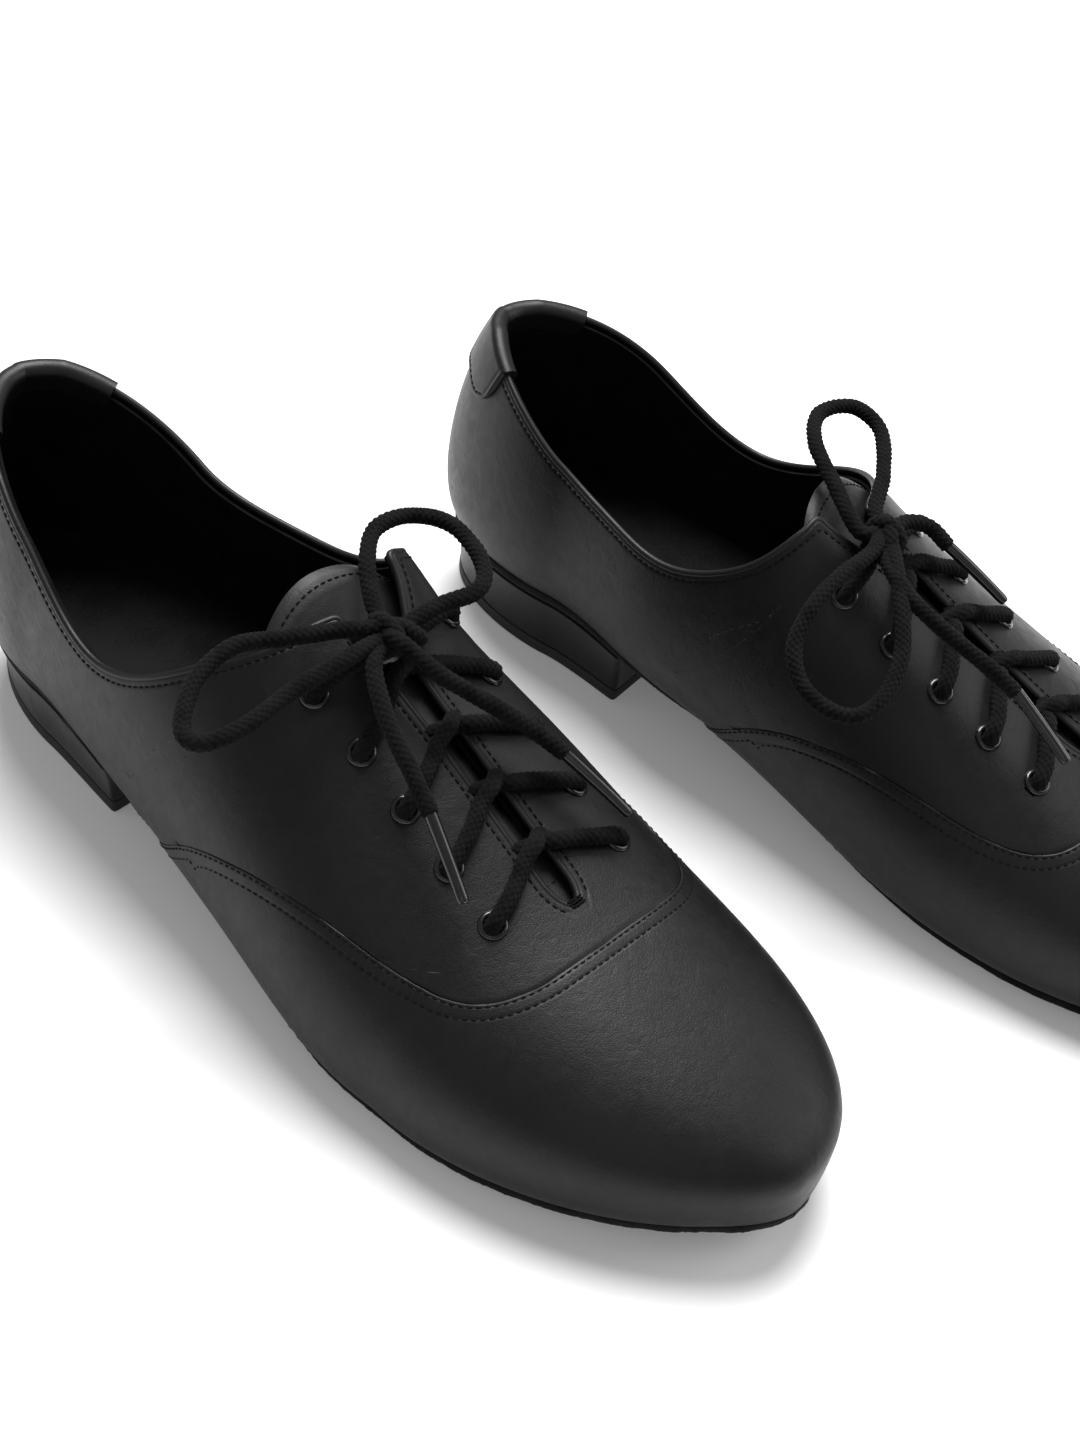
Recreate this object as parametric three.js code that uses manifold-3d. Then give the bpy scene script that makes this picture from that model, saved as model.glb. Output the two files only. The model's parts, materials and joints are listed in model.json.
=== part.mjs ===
// A pair of black leather lace-up dance shoes with low block heels.
// Millimetres, +Z up, toes towards -Y. The right shoe stands on the -X side, the left one on the +X side.
// A shoe is drawn in its own last coordinates: s runs from the heel back to the toe tip, x is
// positive on the outer (lateral) side, z is the height above the floor.
import * as THREE from "three";
import { mergeVertices } from "three/addons/utils/BufferGeometryUtils.js";
import Module from "manifold-3d";

const wasm = await Module();
wasm.setup();

// Driving dimensions of the last.
const LENGTH = 285;
const HEEL_ARC_END = 45; // s where the round heel outline ends and the straight stations start
const HEEL_ARC_REACH = 53; // radius of the heel outline along s
const HEEL_ROUNDNESS = 1.8;
const HEEL_CENTRE = { s: 40, x: 5 }; // becomes the part's origin, on the floor
const TOE_START = { 1: 198, "-1": 211 }; // s where the toe outline starts to round, for each side
const TOE_ROUNDNESS = { 1: 1.65, "-1": 2.25 };
const TOE_DROP_START = 224.7; // s where the crown starts to drop to the toe tip
const TOE_DROP_ROUNDNESS = 2.2;
const LATERAL = 1;
const MEDIAL = -1;
const FEATHER = -80; // degrees round a section: the lower rim of the upper
const CROWN = 90; // degrees round a section: the ridge line

// Layers of the upper: depth below the outer surface of the leather.
const LEATHER = { from: 0, to: 1.4 };
const STIFFENER = { from: 1.75, to: 2.35 };
const LINING = { from: 3.4, to: 4 };
const TONGUE = { from: 7.8, to: 8.9 };
const TAB = { from: -1.8, to: -0.35 };
const GAP = 0.3;

// Layers of the bottom, measured up or down from the feather line.
const SOLE_THICKNESS = 3.5;
const SOLE_TOP = -0.05;
const SOLE_MARGIN = -1; // the outsole stands this much outside the feather
const SHANK = { from: 0.4, to: 1.6, halfWidth: 7, start: 50, end: 168, aside: 3, rows: 8 };
const BOARD = { from: 2, to: 3.6, inset: 4.4 };
const SOCK = { from: 4, to: 5, inset: 4.4, end: 165 };

// Heel.
const TOP_PIECE_HEIGHT = 4;
const HEEL_FRONT = { 1: 79, "-1": 75 }; // s of the breast at the outer and the inner edge
const HEEL_TOP_INSET = 1.5;
const HEEL_TAPER = 3.5; // extra inset at the floor
const HEEL_ROWS = 9;
const SCREW = { radius: 2, hole: 2.4, head: 3.6, headHeight: 1.2, bottom: 9, sides: 10 };

// Throat, lacing and joints.
const SLIT_HALF = 3.8;
const SLIT_END = 207;
const THROAT = 129; // s of the top corner of the facings
const NOSE = 218.5; // s where the vamp seam crosses the ridge
const EYELET_STATIONS = [136.5, 152.3, 168.1, 183.9, 199.7];
const EYELET_OFFSET = { 1: 20, "-1": 22 };
const EYELET = { flange: 3.8, barrel: 2.75, bore: 2.1, hole: 3.15, top: 1, bottom: 3.2, sides: 6, drill: 12 };
const CORD_RADIUS = 2;
const LACE_HEIGHT = 3.8; // of the cord's centre above the leather
const LACE_STEPS = { strand: 34, loop: 20, end: 6 };
const CROSSING = { out: 0.28, middle: 0.5, back: 0.72, halfWidth: 10, rise: 0.4 }; // between two stations
const KNOT_RADIUS = 7;
const KNOT_STATION = 138; // where the two strands leave the facings for the knot
const KNOT_APPROACH = 11; // their distance from the ridge there
const AGLET = { radius: 1.6, length: 22, gap: 0.6 };
const FLEX_STATION = 226;
const FLEX_HEIGHT = 3.5;
const FLEX_ANGLE = 15;
const FLEX_SPARE = 1; // degrees that the wedge is wider than the bend
const FAR = 400; // beyond the shoe on every side
const LEFT_SHOE = { x: 135, y: -52.4, yaw: 11.25 };

// A smooth curve through (station, value) pairs, level outside them.
function profile(stations, values) {
  const last = stations.length - 1;
  const slope = (i) => {
    const a = Math.max(i - 1, 0);
    const b = Math.min(i + 1, last);
    return (values[b] - values[a]) / (stations[b] - stations[a]);
  };
  return (at) => {
    const s = THREE.MathUtils.clamp(at, stations[0], stations[last]);
    let i = 0;
    while (i < last - 1 && s > stations[i + 1]) i += 1;
    const step = stations[i + 1] - stations[i];
    const t = (s - stations[i]) / step;
    const start = values[i] * (1 + 2 * t) + slope(i) * step * t;
    const end = values[i + 1] * (3 - 2 * t) - slope(i + 1) * step * (1 - t);
    return start * (1 - t) ** 2 + end * t ** 2;
  };
}

// Shape of the last along s.
const ridgeX = profile([0, 45, 110, 150, 285], [7, 6, -2, -5.5, -5.5]);
const halfWidth = {
  1: profile([45, 75, 110, 150, 185, 205], [32, 38, 45, 52.5, 55, 52]),
  "-1": profile([45, 75, 110, 150, 185, 215], [32, 38, 37.5, 40.5, 45.5, 47]),
};
const seatZ = profile(
  [0, 60, 90, 130, 165, 195, 215, 235, 260, 285],
  [25.6, 25.4, 20.5, 13, 7, 3.8, 3.8, 5.2, 8, 12],
);
const ridgeZ = profile(
  [0, 45, 80, 110, 140, 165, 195, 225, 255, 285],
  [125, 123, 113, 97, 80, 68, 54.5, 45, 40, 38],
);
const sideFullness = {
  1: profile([0, 45, 100, 150, 200, 240, 285], [1, 1, 1.05, 1.2, 1.08, 0.92, 0.86]),
  "-1": profile([0, 45, 100, 150, 200, 240, 285], [1.1, 0.95, 0.75, 0.6, 0.62, 0.74, 0.9]),
};
const crownFullness = profile([0, 100, 150, 200, 240], [1, 1, 0.9, 0.9, 0.85]);
const waistRise = profile([0, 60, 110, 170, 230, 285], [18, 18, 18, 13, 11, 9]);
const tuck = {
  1: profile([0, 60, 110, 150, 190, 285], [5, 5, 5.8, 4.7, 3.8, 3.9]),
  "-1": profile([0, 60, 110, 150, 190, 285], [4, 6.5, 14, 11.5, 7.3, 4.5]),
};
const collarZ = {
  1: profile([8, 30, 45, 60, 78, 92, 103, 112, 122, 129], [91, 84, 76, 66.5, 60.5, 63.5, 70, 77, 83, 86]),
  "-1": profile([8, 30, 50, 68, 90, 102, 113, 122, 129], [91, 80, 70.5, 67, 66.5, 71, 79.5, 84, 86]),
};
// The vamp seam from the feather (0) to the ridge (1).
const seamS = profile([0, 0.17, 0.37, 0.59, 0.77, 0.87, 1], [104, 122, 152, 183, 209, 216.5, NOSE]);
const seamAngle = profile([0, 0.17, 0.37, 0.59, 0.77, 0.87, 1], [FEATHER, 0, 22, 35, 48, 64, CROWN]);

const TO_RADIANS = Math.PI / 180;
const stationOf = (q) => (q > 1 ? HEEL_ARC_END + (q - 1) * (LENGTH - HEEL_ARC_END) : HEEL_ARC_END);
const qOf = (s) => 1 + (s - HEEL_ARC_END) / (LENGTH - HEEL_ARC_END);
const waistZ = (s) => seatZ(s) + waistRise(s);

function widthAt(s, side) {
  const w = halfWidth[side](Math.min(s, TOE_START[side]));
  const u = THREE.MathUtils.clamp((s - TOE_START[side]) / (LENGTH - TOE_START[side]), 0, 1);
  return w * (1 - u ** TOE_ROUNDNESS[side]) ** (1 / TOE_ROUNDNESS[side]);
}

function crownZ(s) {
  const u = THREE.MathUtils.clamp((s - TOE_DROP_START) / (LENGTH - TOE_DROP_START), 0, 1);
  const drop = (1 - u ** TOE_DROP_ROUNDNESS) ** (1 / TOE_DROP_ROUNDNESS);
  return waistZ(s) + (ridgeZ(s) - waistZ(s)) * drop;
}

// A point of the last's surface. q: 0 at the heel back, 1 at the end of the heel arc, 2 at the toe.
function surfacePoint(q, side, angle) {
  const s = stationOf(q);
  const turn = (Math.min(q, 1) * Math.PI) / 2;
  const across = Math.abs(Math.cos(angle * TO_RADIANS));
  const up = Math.sin(angle * TO_RADIANS);
  const wide = widthAt(s, side);
  const under = tuck[side](s) * Math.min(1, wide / 20);
  const arc =
    (Math.abs(Math.cos(turn)) / HEEL_ARC_REACH) ** HEEL_ROUNDNESS +
    (Math.abs(Math.sin(turn)) / Math.max(wide, 1)) ** HEEL_ROUNDNESS;
  const reach = q > 1 ? wide : arc ** (-1 / HEEL_ROUNDNESS);
  const radius = angle >= 0 ? reach * across ** sideFullness[side](s) : reach - under + under * across;
  const above = (crownZ(s) - waistZ(s)) * Math.abs(up) ** crownFullness(s);
  const z = angle >= 0 ? waistZ(s) + above : waistZ(s) + waistRise(s) * up;
  if (q > 1) return new THREE.Vector3(s, ridgeX(s) + side * radius, z);
  return new THREE.Vector3(
    HEEL_ARC_END - radius * Math.cos(turn),
    ridgeX(HEEL_ARC_END) + side * radius * Math.sin(turn),
    z,
  );
}

function outwardNormal(q, side, angle) {
  const dq = 0.004;
  const da = 0.5;
  if (q > 2 - dq) return new THREE.Vector3(1, 0, 0);
  if (angle > CROWN - da || q < dq) {
    const inner = (other) =>
      outwardNormal(Math.max(q, dq), other, Math.min(angle, CROWN - da));
    return inner(LATERAL).add(inner(MEDIAL)).normalize();
  }
  const along = surfacePoint(q + dq, side, angle).sub(surfacePoint(q - dq, side, angle));
  const round = surfacePoint(q, side, angle + da).sub(surfacePoint(q, side, Math.max(angle - da, FEATHER)));
  return along.cross(round).multiplyScalar(-side).normalize();
}

const below = (q, side, angle, depth) =>
  surfacePoint(q, side, angle).addScaledVector(outwardNormal(q, side, angle), -depth);

// Angle round the section at a height, and at a distance from the ridge line.
function angleAtHeight(q, z) {
  const s = stationOf(q);
  const share = THREE.MathUtils.clamp((z - waistZ(s)) / (crownZ(s) - waistZ(s)), 0, 1);
  return Math.asin(share ** (1 / crownFullness(s))) / TO_RADIANS;
}

function angleAtOffset(s, side, offset) {
  const share = THREE.MathUtils.clamp(offset / widthAt(s, side), 0, 1);
  return Math.acos(share ** (1 / sideFullness[side](s))) / TO_RADIANS;
}

// Solids.
function solidFrom(positions, indices) {
  const raw = new THREE.BufferGeometry();
  raw.setAttribute("position", new THREE.Float32BufferAttribute(positions, 3));
  raw.setIndex(indices);
  return solidOf(raw);
}

function solidOf(geometry) {
  const bare = geometry.clone();
  bare.deleteAttribute("normal");
  bare.deleteAttribute("uv");
  const merged = mergeVertices(bare, 1e-3);
  const index = merged.index.array;
  const kept = [];
  for (let i = 0; i < index.length; i += 3) {
    const [a, b, c] = index.slice(i, i + 3);
    if (a !== b && b !== c && c !== a) kept.push(a, b, c);
  }
  const build = (triangles) =>
    new wasm.Manifold(
      new wasm.Mesh({
        numProp: 3,
        vertProperties: merged.attributes.position.array,
        triVerts: new Uint32Array(triangles),
      }),
    );
  const solid = build(kept);
  return solid.volume() > 0 ? solid : build(kept.reverse());
}

// A closed slab over a grid: place(i, j, layer) gives a corner, layer 0 outside and 1 inside.
function slab(rows, columns, place) {
  const positions = [];
  const indices = [];
  const at = (i, j, layer) => (layer * (rows + 1) + i) * (columns + 1) + j;
  const quad = (a, b, c, d) => indices.push(a, b, c, a, c, d);
  for (let layer = 0; layer < 2; layer += 1) {
    for (let i = 0; i <= rows; i += 1) {
      for (let j = 0; j <= columns; j += 1) positions.push(...place(i, j, layer).toArray());
    }
  }
  for (let i = 0; i < rows; i += 1) {
    for (let j = 0; j < columns; j += 1) {
      quad(at(i, j, 0), at(i + 1, j, 0), at(i + 1, j + 1, 0), at(i, j + 1, 0));
      quad(at(i, j, 1), at(i, j + 1, 1), at(i + 1, j + 1, 1), at(i + 1, j, 1));
    }
  }
  for (let i = 0; i < rows; i += 1) {
    quad(at(i, 0, 0), at(i, 0, 1), at(i + 1, 0, 1), at(i + 1, 0, 0));
    quad(at(i, columns, 0), at(i + 1, columns, 0), at(i + 1, columns, 1), at(i, columns, 1));
  }
  for (let j = 0; j < columns; j += 1) {
    quad(at(0, j, 0), at(0, j + 1, 0), at(0, j + 1, 1), at(0, j, 1));
    quad(at(rows, j, 0), at(rows, j, 1), at(rows, j + 1, 1), at(rows, j + 1, 0));
  }
  return solidFrom(positions, indices);
}

function prism(outline, width) {
  const shape = new THREE.Shape(outline.map(([s, z]) => new THREE.Vector2(s, z)));
  const geometry = new THREE.ExtrudeGeometry(shape, { depth: width, bevelEnabled: false });
  geometry.translate(0, 0, -width / 2);
  geometry.rotateX(Math.PI / 2);
  return solidOf(geometry);
}

function alongNormal(geometry, origin, normal) {
  const turn = new THREE.Quaternion().setFromUnitVectors(new THREE.Vector3(0, 1, 0), normal);
  return geometry.applyQuaternion(turn).translate(origin.x, origin.y, origin.z);
}

function cord(points, radius, steps) {
  const section = new THREE.Shape();
  section.absarc(0, 0, radius, 0, 2 * Math.PI);
  const path = new THREE.CatmullRomCurve3(points.map((p) => new THREE.Vector3(...p)));
  return solidOf(
    new THREE.ExtrudeGeometry(section, { extrudePath: path, steps, curveSegments: 3 }),
  );
}

// Upper.
const HEEL_COLUMNS = 7;
const COLLAR_COLUMNS = 7;
const FACING_COLUMNS = 6;
const CORNER_COLUMN = HEEL_COLUMNS + COLLAR_COLUMNS;
const QUARTER_COLUMNS = CORNER_COLUMN + FACING_COLUMNS;
const UPPER_ROWS = 8; // from the feather to the ridge
const BACK_SEAM = 0.012; // q where a quarter starts, so that the two leave a gap at the back
const ALL_COLUMNS = [0, QUARTER_COLUMNS];
const ALL_ROWS = [0, UPPER_ROWS];
const LINING_ROWS = [1, UPPER_ROWS]; // the lining ends beside the insole board, above the sole

function quarterBorder(side, startQ) {
  const rest = COLLAR_COLUMNS + FACING_COLUMNS;
  const bottom = (i) =>
    i <= HEEL_COLUMNS
      ? [THREE.MathUtils.lerp(startQ, 1, i / HEEL_COLUMNS), FEATHER]
      : [THREE.MathUtils.lerp(1, qOf(seamS(0)), (i - HEEL_COLUMNS) / rest), FEATHER];
  const top = (i) => {
    if (i > CORNER_COLUMN) {
      const s = THREE.MathUtils.lerp(THROAT, NOSE, (i - CORNER_COLUMN) / FACING_COLUMNS);
      const closing = THREE.MathUtils.clamp((NOSE - s) / (NOSE - SLIT_END), 0, 1);
      return [qOf(s), angleAtOffset(s, side, Math.max(SLIT_HALF * closing, GAP / 2))];
    }
    const towardsCorner = 1 - (1 - (i - HEEL_COLUMNS) / COLLAR_COLUMNS) ** 1.5;
    const q =
      i <= HEEL_COLUMNS
        ? THREE.MathUtils.lerp(startQ, 1, i / HEEL_COLUMNS)
        : THREE.MathUtils.lerp(1, qOf(THROAT), towardsCorner);
    if (i === CORNER_COLUMN) return [q, angleAtOffset(THROAT, side, SLIT_HALF)];
    let angle = CROWN / 2;
    for (let pass = 0; pass < 8; pass += 1) {
      angle = angleAtHeight(q, collarZ[side](surfacePoint(q, side, angle).x));
    }
    return [q, angle];
  };
  return { bottom, top };
}

// A layer over the quarter's grid, or over some of its columns and rows.
function quarterLayer(side, layer, startQ = BACK_SEAM, columns = ALL_COLUMNS, rows = ALL_ROWS) {
  const { bottom, top } = quarterBorder(side, startQ);
  const frontAngle = top(QUARTER_COLUMNS)[1];
  const place = (column, row, face) => {
    const i = column + columns[0];
    const u = i / QUARTER_COLUMNS;
    const v = (row + rows[0]) / UPPER_ROWS;
    const front = [qOf(seamS(v)), Math.min(seamAngle(v), frontAngle)];
    const back = [startQ, THREE.MathUtils.lerp(FEATHER, top(0)[1], v)];
    const [q, angle] = [0, 1].map((k) => {
      const ruledV = (1 - v) * bottom(i)[k] + v * top(i)[k];
      const ruledU = (1 - u) * back[k] + u * front[k];
      const cornersBottom = (1 - u) * bottom(0)[k] + u * bottom(QUARTER_COLUMNS)[k];
      const cornersTop = (1 - u) * top(0)[k] + u * top(QUARTER_COLUMNS)[k];
      return ruledV + ruledU - (1 - v) * cornersBottom - v * cornersTop;
    });
    return below(q, side, angle, face ? layer.to : layer.from);
  };
  return slab(columns[1] - columns[0], rows[1] - rows[0], place);
}

const eyeletPlaces = (side) =>
  EYELET_STATIONS.map((s) => {
    const angle = angleAtOffset(s, side, EYELET_OFFSET[side]);
    return { origin: surfacePoint(qOf(s), side, angle), normal: outwardNormal(qOf(s), side, angle) };
  });

function withEyeletHoles(solid, side) {
  return eyeletPlaces(side).reduce((piece, { origin, normal }) => {
    const drill = new THREE.CylinderGeometry(EYELET.hole, EYELET.hole, EYELET.drill, EYELET.sides);
    return piece.subtract(solidOf(alongNormal(drill, origin, normal)));
  }, solid);
}

const TAPE_COLUMNS = [CORNER_COLUMN, QUARTER_COLUMNS];
const TAPE_ROWS = [UPPER_ROWS - 2, UPPER_ROWS];

// The facing's reinforcing tape with the five eyelets that are clenched through it.
function eyeletRow(side) {
  const tape = quarterLayer(side, STIFFENER, BACK_SEAM, TAPE_COLUMNS, TAPE_ROWS);
  const { flange, barrel, bore, top, bottom, sides, drill } = EYELET;
  const profilePoints = [
    [bore, -bottom],
    [barrel, -bottom],
    [barrel, GAP],
    [flange, GAP],
    [flange, top],
    [bore, top],
    [bore, -bottom],
  ].map(([r, h]) => new THREE.Vector2(r, h));
  return eyeletPlaces(side).reduce((row, { origin, normal }) => {
    const clearBore = new THREE.CylinderGeometry(bore, bore, drill, sides);
    const ring = new THREE.LatheGeometry(profilePoints, sides);
    return row
      .subtract(solidOf(alongNormal(clearBore, origin, normal)))
      .add(solidOf(alongNormal(ring, origin, normal)));
  }, tape);
}

const VAMP_ROWS = 9;

function vampPoint(row, column, depth) {
  const side = column <= UPPER_ROWS ? LATERAL : MEDIAL;
  const v = 1 - Math.abs(column - UPPER_ROWS) / UPPER_ROWS;
  const t = Math.sin(((row / VAMP_ROWS) * Math.PI) / 2);
  const start = seamS(v) + 4 * GAP;
  const s = THREE.MathUtils.lerp(start, LENGTH, t);
  const even = THREE.MathUtils.lerp(FEATHER, CROWN, v);
  return below(qOf(s), side, THREE.MathUtils.lerp(seamAngle(v), even, Math.min(1, 2 * t)), depth);
}

const vampShell = () =>
  slab(VAMP_ROWS, 2 * UPPER_ROWS, (i, j, face) => vampPoint(i, j, face ? LEATHER.to : LEATHER.from));

function toePuff() {
  const firstRow = 5;
  const inset = 2;
  const place = (i, j, face) =>
    vampPoint(i + firstRow, j + inset, face ? STIFFENER.to : STIFFENER.from);
  return slab(VAMP_ROWS - firstRow, 2 * (UPPER_ROWS - inset), place);
}

// A layer round the back of the heel, over some columns and rows of both quarters' grids.
function heelWrap(layer, columns, rows) {
  const half = (side) => quarterLayer(side, layer, 0, [0, columns], rows);
  return half(LATERAL).add(half(MEDIAL));
}

const heelCounter = () => heelWrap(STIFFENER, HEEL_COLUMNS, [1, UPPER_ROWS - 2]);
const heelTab = () => heelWrap(TAB, 3, [UPPER_ROWS - 1, UPPER_ROWS]);

const TONGUE_SPAN = { start: 117, end: 213, halfWidth: 27, corner: 12 };

function tongue() {
  const rows = 9;
  const columns = 6;
  const place = (i, j, face) => {
    const t = i / rows;
    const s = THREE.MathUtils.lerp(TONGUE_SPAN.start, TONGUE_SPAN.end, t ** 1.3);
    const fromTop = Math.min((s - TONGUE_SPAN.start) / TONGUE_SPAN.corner, 1);
    const half = TONGUE_SPAN.halfWidth * (0.62 + 0.38 * Math.sqrt(1 - (1 - fromTop) ** 2));
    const offset = THREE.MathUtils.lerp(half, -half, j / columns);
    const side = offset >= 0 ? LATERAL : MEDIAL;
    const depth = face ? TONGUE.to : TONGUE.from;
    return below(qOf(s), side, angleAtOffset(s, side, Math.abs(offset)), depth);
  };
  return slab(rows, columns, place);
}

const SOLE_ROWS = 26;

// Bottom: plates follow the feather outline, inset by a distance.
function outline(q, side, inset) {
  const dq = 0.004;
  const at = (k) => surfacePoint(THREE.MathUtils.clamp(k, 0, 2), side, FEATHER);
  const p = at(q);
  const along = at(q + dq).sub(at(q - dq));
  let inward = new THREE.Vector2(side * along.y, -side * along.x).normalize();
  if (q < dq) inward = new THREE.Vector2(1, 0);
  if (q > 2 - dq) inward = new THREE.Vector2(-1, 0);
  return new THREE.Vector2(p.x, p.y).addScaledVector(inward, inset);
}

function stationsOf(rows, endQ) {
  return (i) => {
    const t = i / rows;
    const eased = endQ < 2 ? t : 1 - (1 - t) ** 1.6;
    return THREE.MathUtils.lerp(0, endQ, eased);
  };
}

function plate(rows, columns, endQ, inset, bottomAt, topAt) {
  const station = stationsOf(rows, endQ);
  return slab(rows, columns, (i, j, face) => {
    const q = station(i);
    const p = outline(q, LATERAL, inset).lerp(outline(q, MEDIAL, inset), j / columns);
    return new THREE.Vector3(p.x, p.y, face ? bottomAt(p.x) : topAt(p.x));
  });
}

const soleBottom = (s) => Math.max(0, seatZ(s) - SOLE_THICKNESS - GAP);
const outsolePlate = (margin, topAt) => plate(SOLE_ROWS, 2, 2, margin, soleBottom, topAt);
const outsole = () => outsolePlate(SOLE_MARGIN, (s) => seatZ(s) + SOLE_TOP);
const outsoleSpace = () => outsolePlate(SOLE_MARGIN - 4, (s) => seatZ(s) + SOLE_TOP + GAP);
const innerPlate = ({ inset, from, to }) =>
  plate(SOLE_ROWS, 2, 2, inset, (s) => seatZ(s) + from, (s) => seatZ(s) + to);
const insoleBoard = () => innerPlate(BOARD);
const heelSock = () =>
  innerPlate(SOCK).intersect(
    prism([[-FAR, -FAR], [SOCK.end, -FAR], [SOCK.end, FAR], [-FAR, FAR]], FAR),
  );

function shank() {
  return slab(SHANK.rows, 1, (i, j, face) => {
    const s = THREE.MathUtils.lerp(SHANK.start, SHANK.end, i / SHANK.rows);
    const x = ridgeX(s) + SHANK.aside + (j ? -1 : 1) * SHANK.halfWidth;
    return new THREE.Vector3(s, x, seatZ(s) + (face ? SHANK.from : SHANK.to));
  });
}

// The heel's plan: the round back of the sole, cut off by the straight breast.
function heelPiece(zBottom, zTop) {
  const full = seatZ(HEEL_CENTRE.s) - SOLE_THICKNESS;
  const insetAt = (z) => HEEL_TOP_INSET + HEEL_TAPER * (1 - Math.min(z, full) / full);
  const place = (i, j, face) => {
    const z = face ? zBottom : full;
    const edge = (side) => {
      const q = THREE.MathUtils.lerp(0, qOf(HEEL_FRONT[side]), i / HEEL_ROWS);
      return outline(q, side, insetAt(z) + SOLE_MARGIN);
    };
    const p = edge(LATERAL).lerp(edge(MEDIAL), j / 2);
    return new THREE.Vector3(p.x, p.y, face ? zBottom : zTop(p.x));
  };
  return slab(HEEL_ROWS, 2, place);
}

const screwAt = (geometry, z) =>
  solidOf(geometry.rotateX(Math.PI / 2).translate(HEEL_CENTRE.s, HEEL_CENTRE.x, z));

function screwHole() {
  const drill = new THREE.CylinderGeometry(SCREW.hole, SCREW.hole, FAR, SCREW.sides);
  return screwAt(drill, SCREW.bottom - GAP + FAR / 2);
}

function heelScrew() {
  const headTop = seatZ(HEEL_CENTRE.s) + BOARD.from - GAP;
  const headBottom = headTop - SCREW.headHeight;
  const shaftLength = headTop - SCREW.bottom;
  const shaft = new THREE.CylinderGeometry(SCREW.radius, SCREW.radius, shaftLength, SCREW.sides);
  const head = new THREE.CylinderGeometry(SCREW.head, SCREW.head, SCREW.headHeight, SCREW.sides);
  return screwAt(shaft, SCREW.bottom + shaftLength / 2).add(
    screwAt(head, headBottom + SCREW.headHeight / 2),
  );
}

// The wedge that leaves room for the toe to bend up: it opens above the sole.
const rearBlock = () =>
  prism([[-FAR, -FAR], [FLEX_STATION - GAP, -FAR], [FLEX_STATION - GAP, FAR], [-FAR, FAR]], FAR);

function toeBlock() {
  const lean = Math.tan((FLEX_ANGLE + FLEX_SPARE) * TO_RADIANS);
  const start = FLEX_STATION + GAP;
  const topFront = start + lean * (FAR - FLEX_HEIGHT);
  return prism([[start, -FAR], [start, FLEX_HEIGHT], [topFront, FAR], [FAR, FAR], [FAR, -FAR]], FAR);
}

// Laces.
function lacePoint(s, side, offset, height) {
  const p = below(qOf(s), side, angleAtOffset(s, side, offset), -height);
  return [p.x, p.y, p.z];
}

function laceStrand(firstSide, knot) {
  const points = [];
  const order = [...EYELET_STATIONS].reverse();
  order.forEach((s, k) => {
    const side = k % 2 ? -firstSide : firstSide;
    points.push(lacePoint(s, side, EYELET_OFFSET[side], LACE_HEIGHT));
    const next = order[k + 1];
    if (!next) return;
    const { out, middle, back, halfWidth: reach, rise } = CROSSING;
    points.push(lacePoint(THREE.MathUtils.lerp(s, next, out), side, reach, LACE_HEIGHT));
    points.push(lacePoint(THREE.MathUtils.lerp(s, next, middle), side, GAP, LACE_HEIGHT + rise));
    points.push(lacePoint(THREE.MathUtils.lerp(s, next, back), -side, reach, LACE_HEIGHT));
  });
  const lastSide = order.length % 2 ? firstSide : -firstSide;
  points.push(lacePoint(KNOT_STATION, lastSide, KNOT_APPROACH, LACE_HEIGHT + CORD_RADIUS));
  points.push([knot[0], knot[1], knot[2] - CORD_RADIUS]);
  return cord(points, CORD_RADIUS, LACE_STEPS.strand);
}

function laceWithKnot(knot) {
  const ball = new THREE.SphereGeometry(KNOT_RADIUS, 8, 6);
  ball.translate(...knot);
  return laceStrand(LATERAL, knot).add(laceStrand(MEDIAL, knot)).add(solidOf(ball));
}

// Each bow as it lies: the loops, the free ends and the tips that the ends point to.
const BOWS = {
  right: {
    knot: [139, -3, 89],
    loops: {
      medial: [[133, -9, 92], [122, -17, 95], [113, -26, 96], [117, -37, 95], [129, -39, 94],
        [139, -30, 92], [142, -13, 91]],
      lateral: [[136, 6, 89], [128, 22, 90], [124, 34, 89], [127, 45, 87], [135, 50, 86],
        [142, 43, 86], [144, 27, 87], [142, 6.5, 88]],
    },
    ends: {
      medial: [[147.5, -6, 87], [158, -11, 81], [167, -17, 76], [178, -22, 71]],
      lateral: [[148, 2, 87], [160, 11, 80], [170, 15, 75], [180, 17, 70]],
    },
    tips: { medial: [199, -28, 59], lateral: [199, 24, 59] },
  },
  left: {
    knot: [137, -12, 89.8],
    loops: {
      lateral: [[130, -7, 92], [119, -1, 95], [108, 6, 98], [102, 15, 99], [107, 25, 98], [117, 23, 96],
        [126, 11, 93], [132, -3, 90]],
      medial: [[137, -23.5, 90], [136, -37, 91], [135, -48, 88], [136, -57, 83], [142, -63, 78],
        [151, -64, 75], [158, -61, 75], [160, -53, 78], [158, -42, 83], [151, -31, 88], [144, -23, 90]],
    },
    ends: {
      medial: [[147, -18.5, 88], [157, -26, 84], [167, -28, 80], [178, -28, 76], [186, -28, 72]],
      lateral: [[143, -4.5, 92], [148, 0, 91.5], [153, 2.5, 89]],
    },
    tips: { medial: [207, -32, 63], lateral: [171, 6, 79] },
  },
};

function aglet(bow, name) {
  const from = new THREE.Vector3(...bow.ends[name].at(-1));
  const way = new THREE.Vector3(...bow.tips[name]).sub(from).normalize();
  const centre = from.clone().addScaledVector(way, AGLET.gap + 1 + AGLET.length / 2);
  const tube = new THREE.CylinderGeometry(AGLET.radius, AGLET.radius, AGLET.length, 8);
  return solidOf(alongNormal(tube, centre, way));
}

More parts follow.
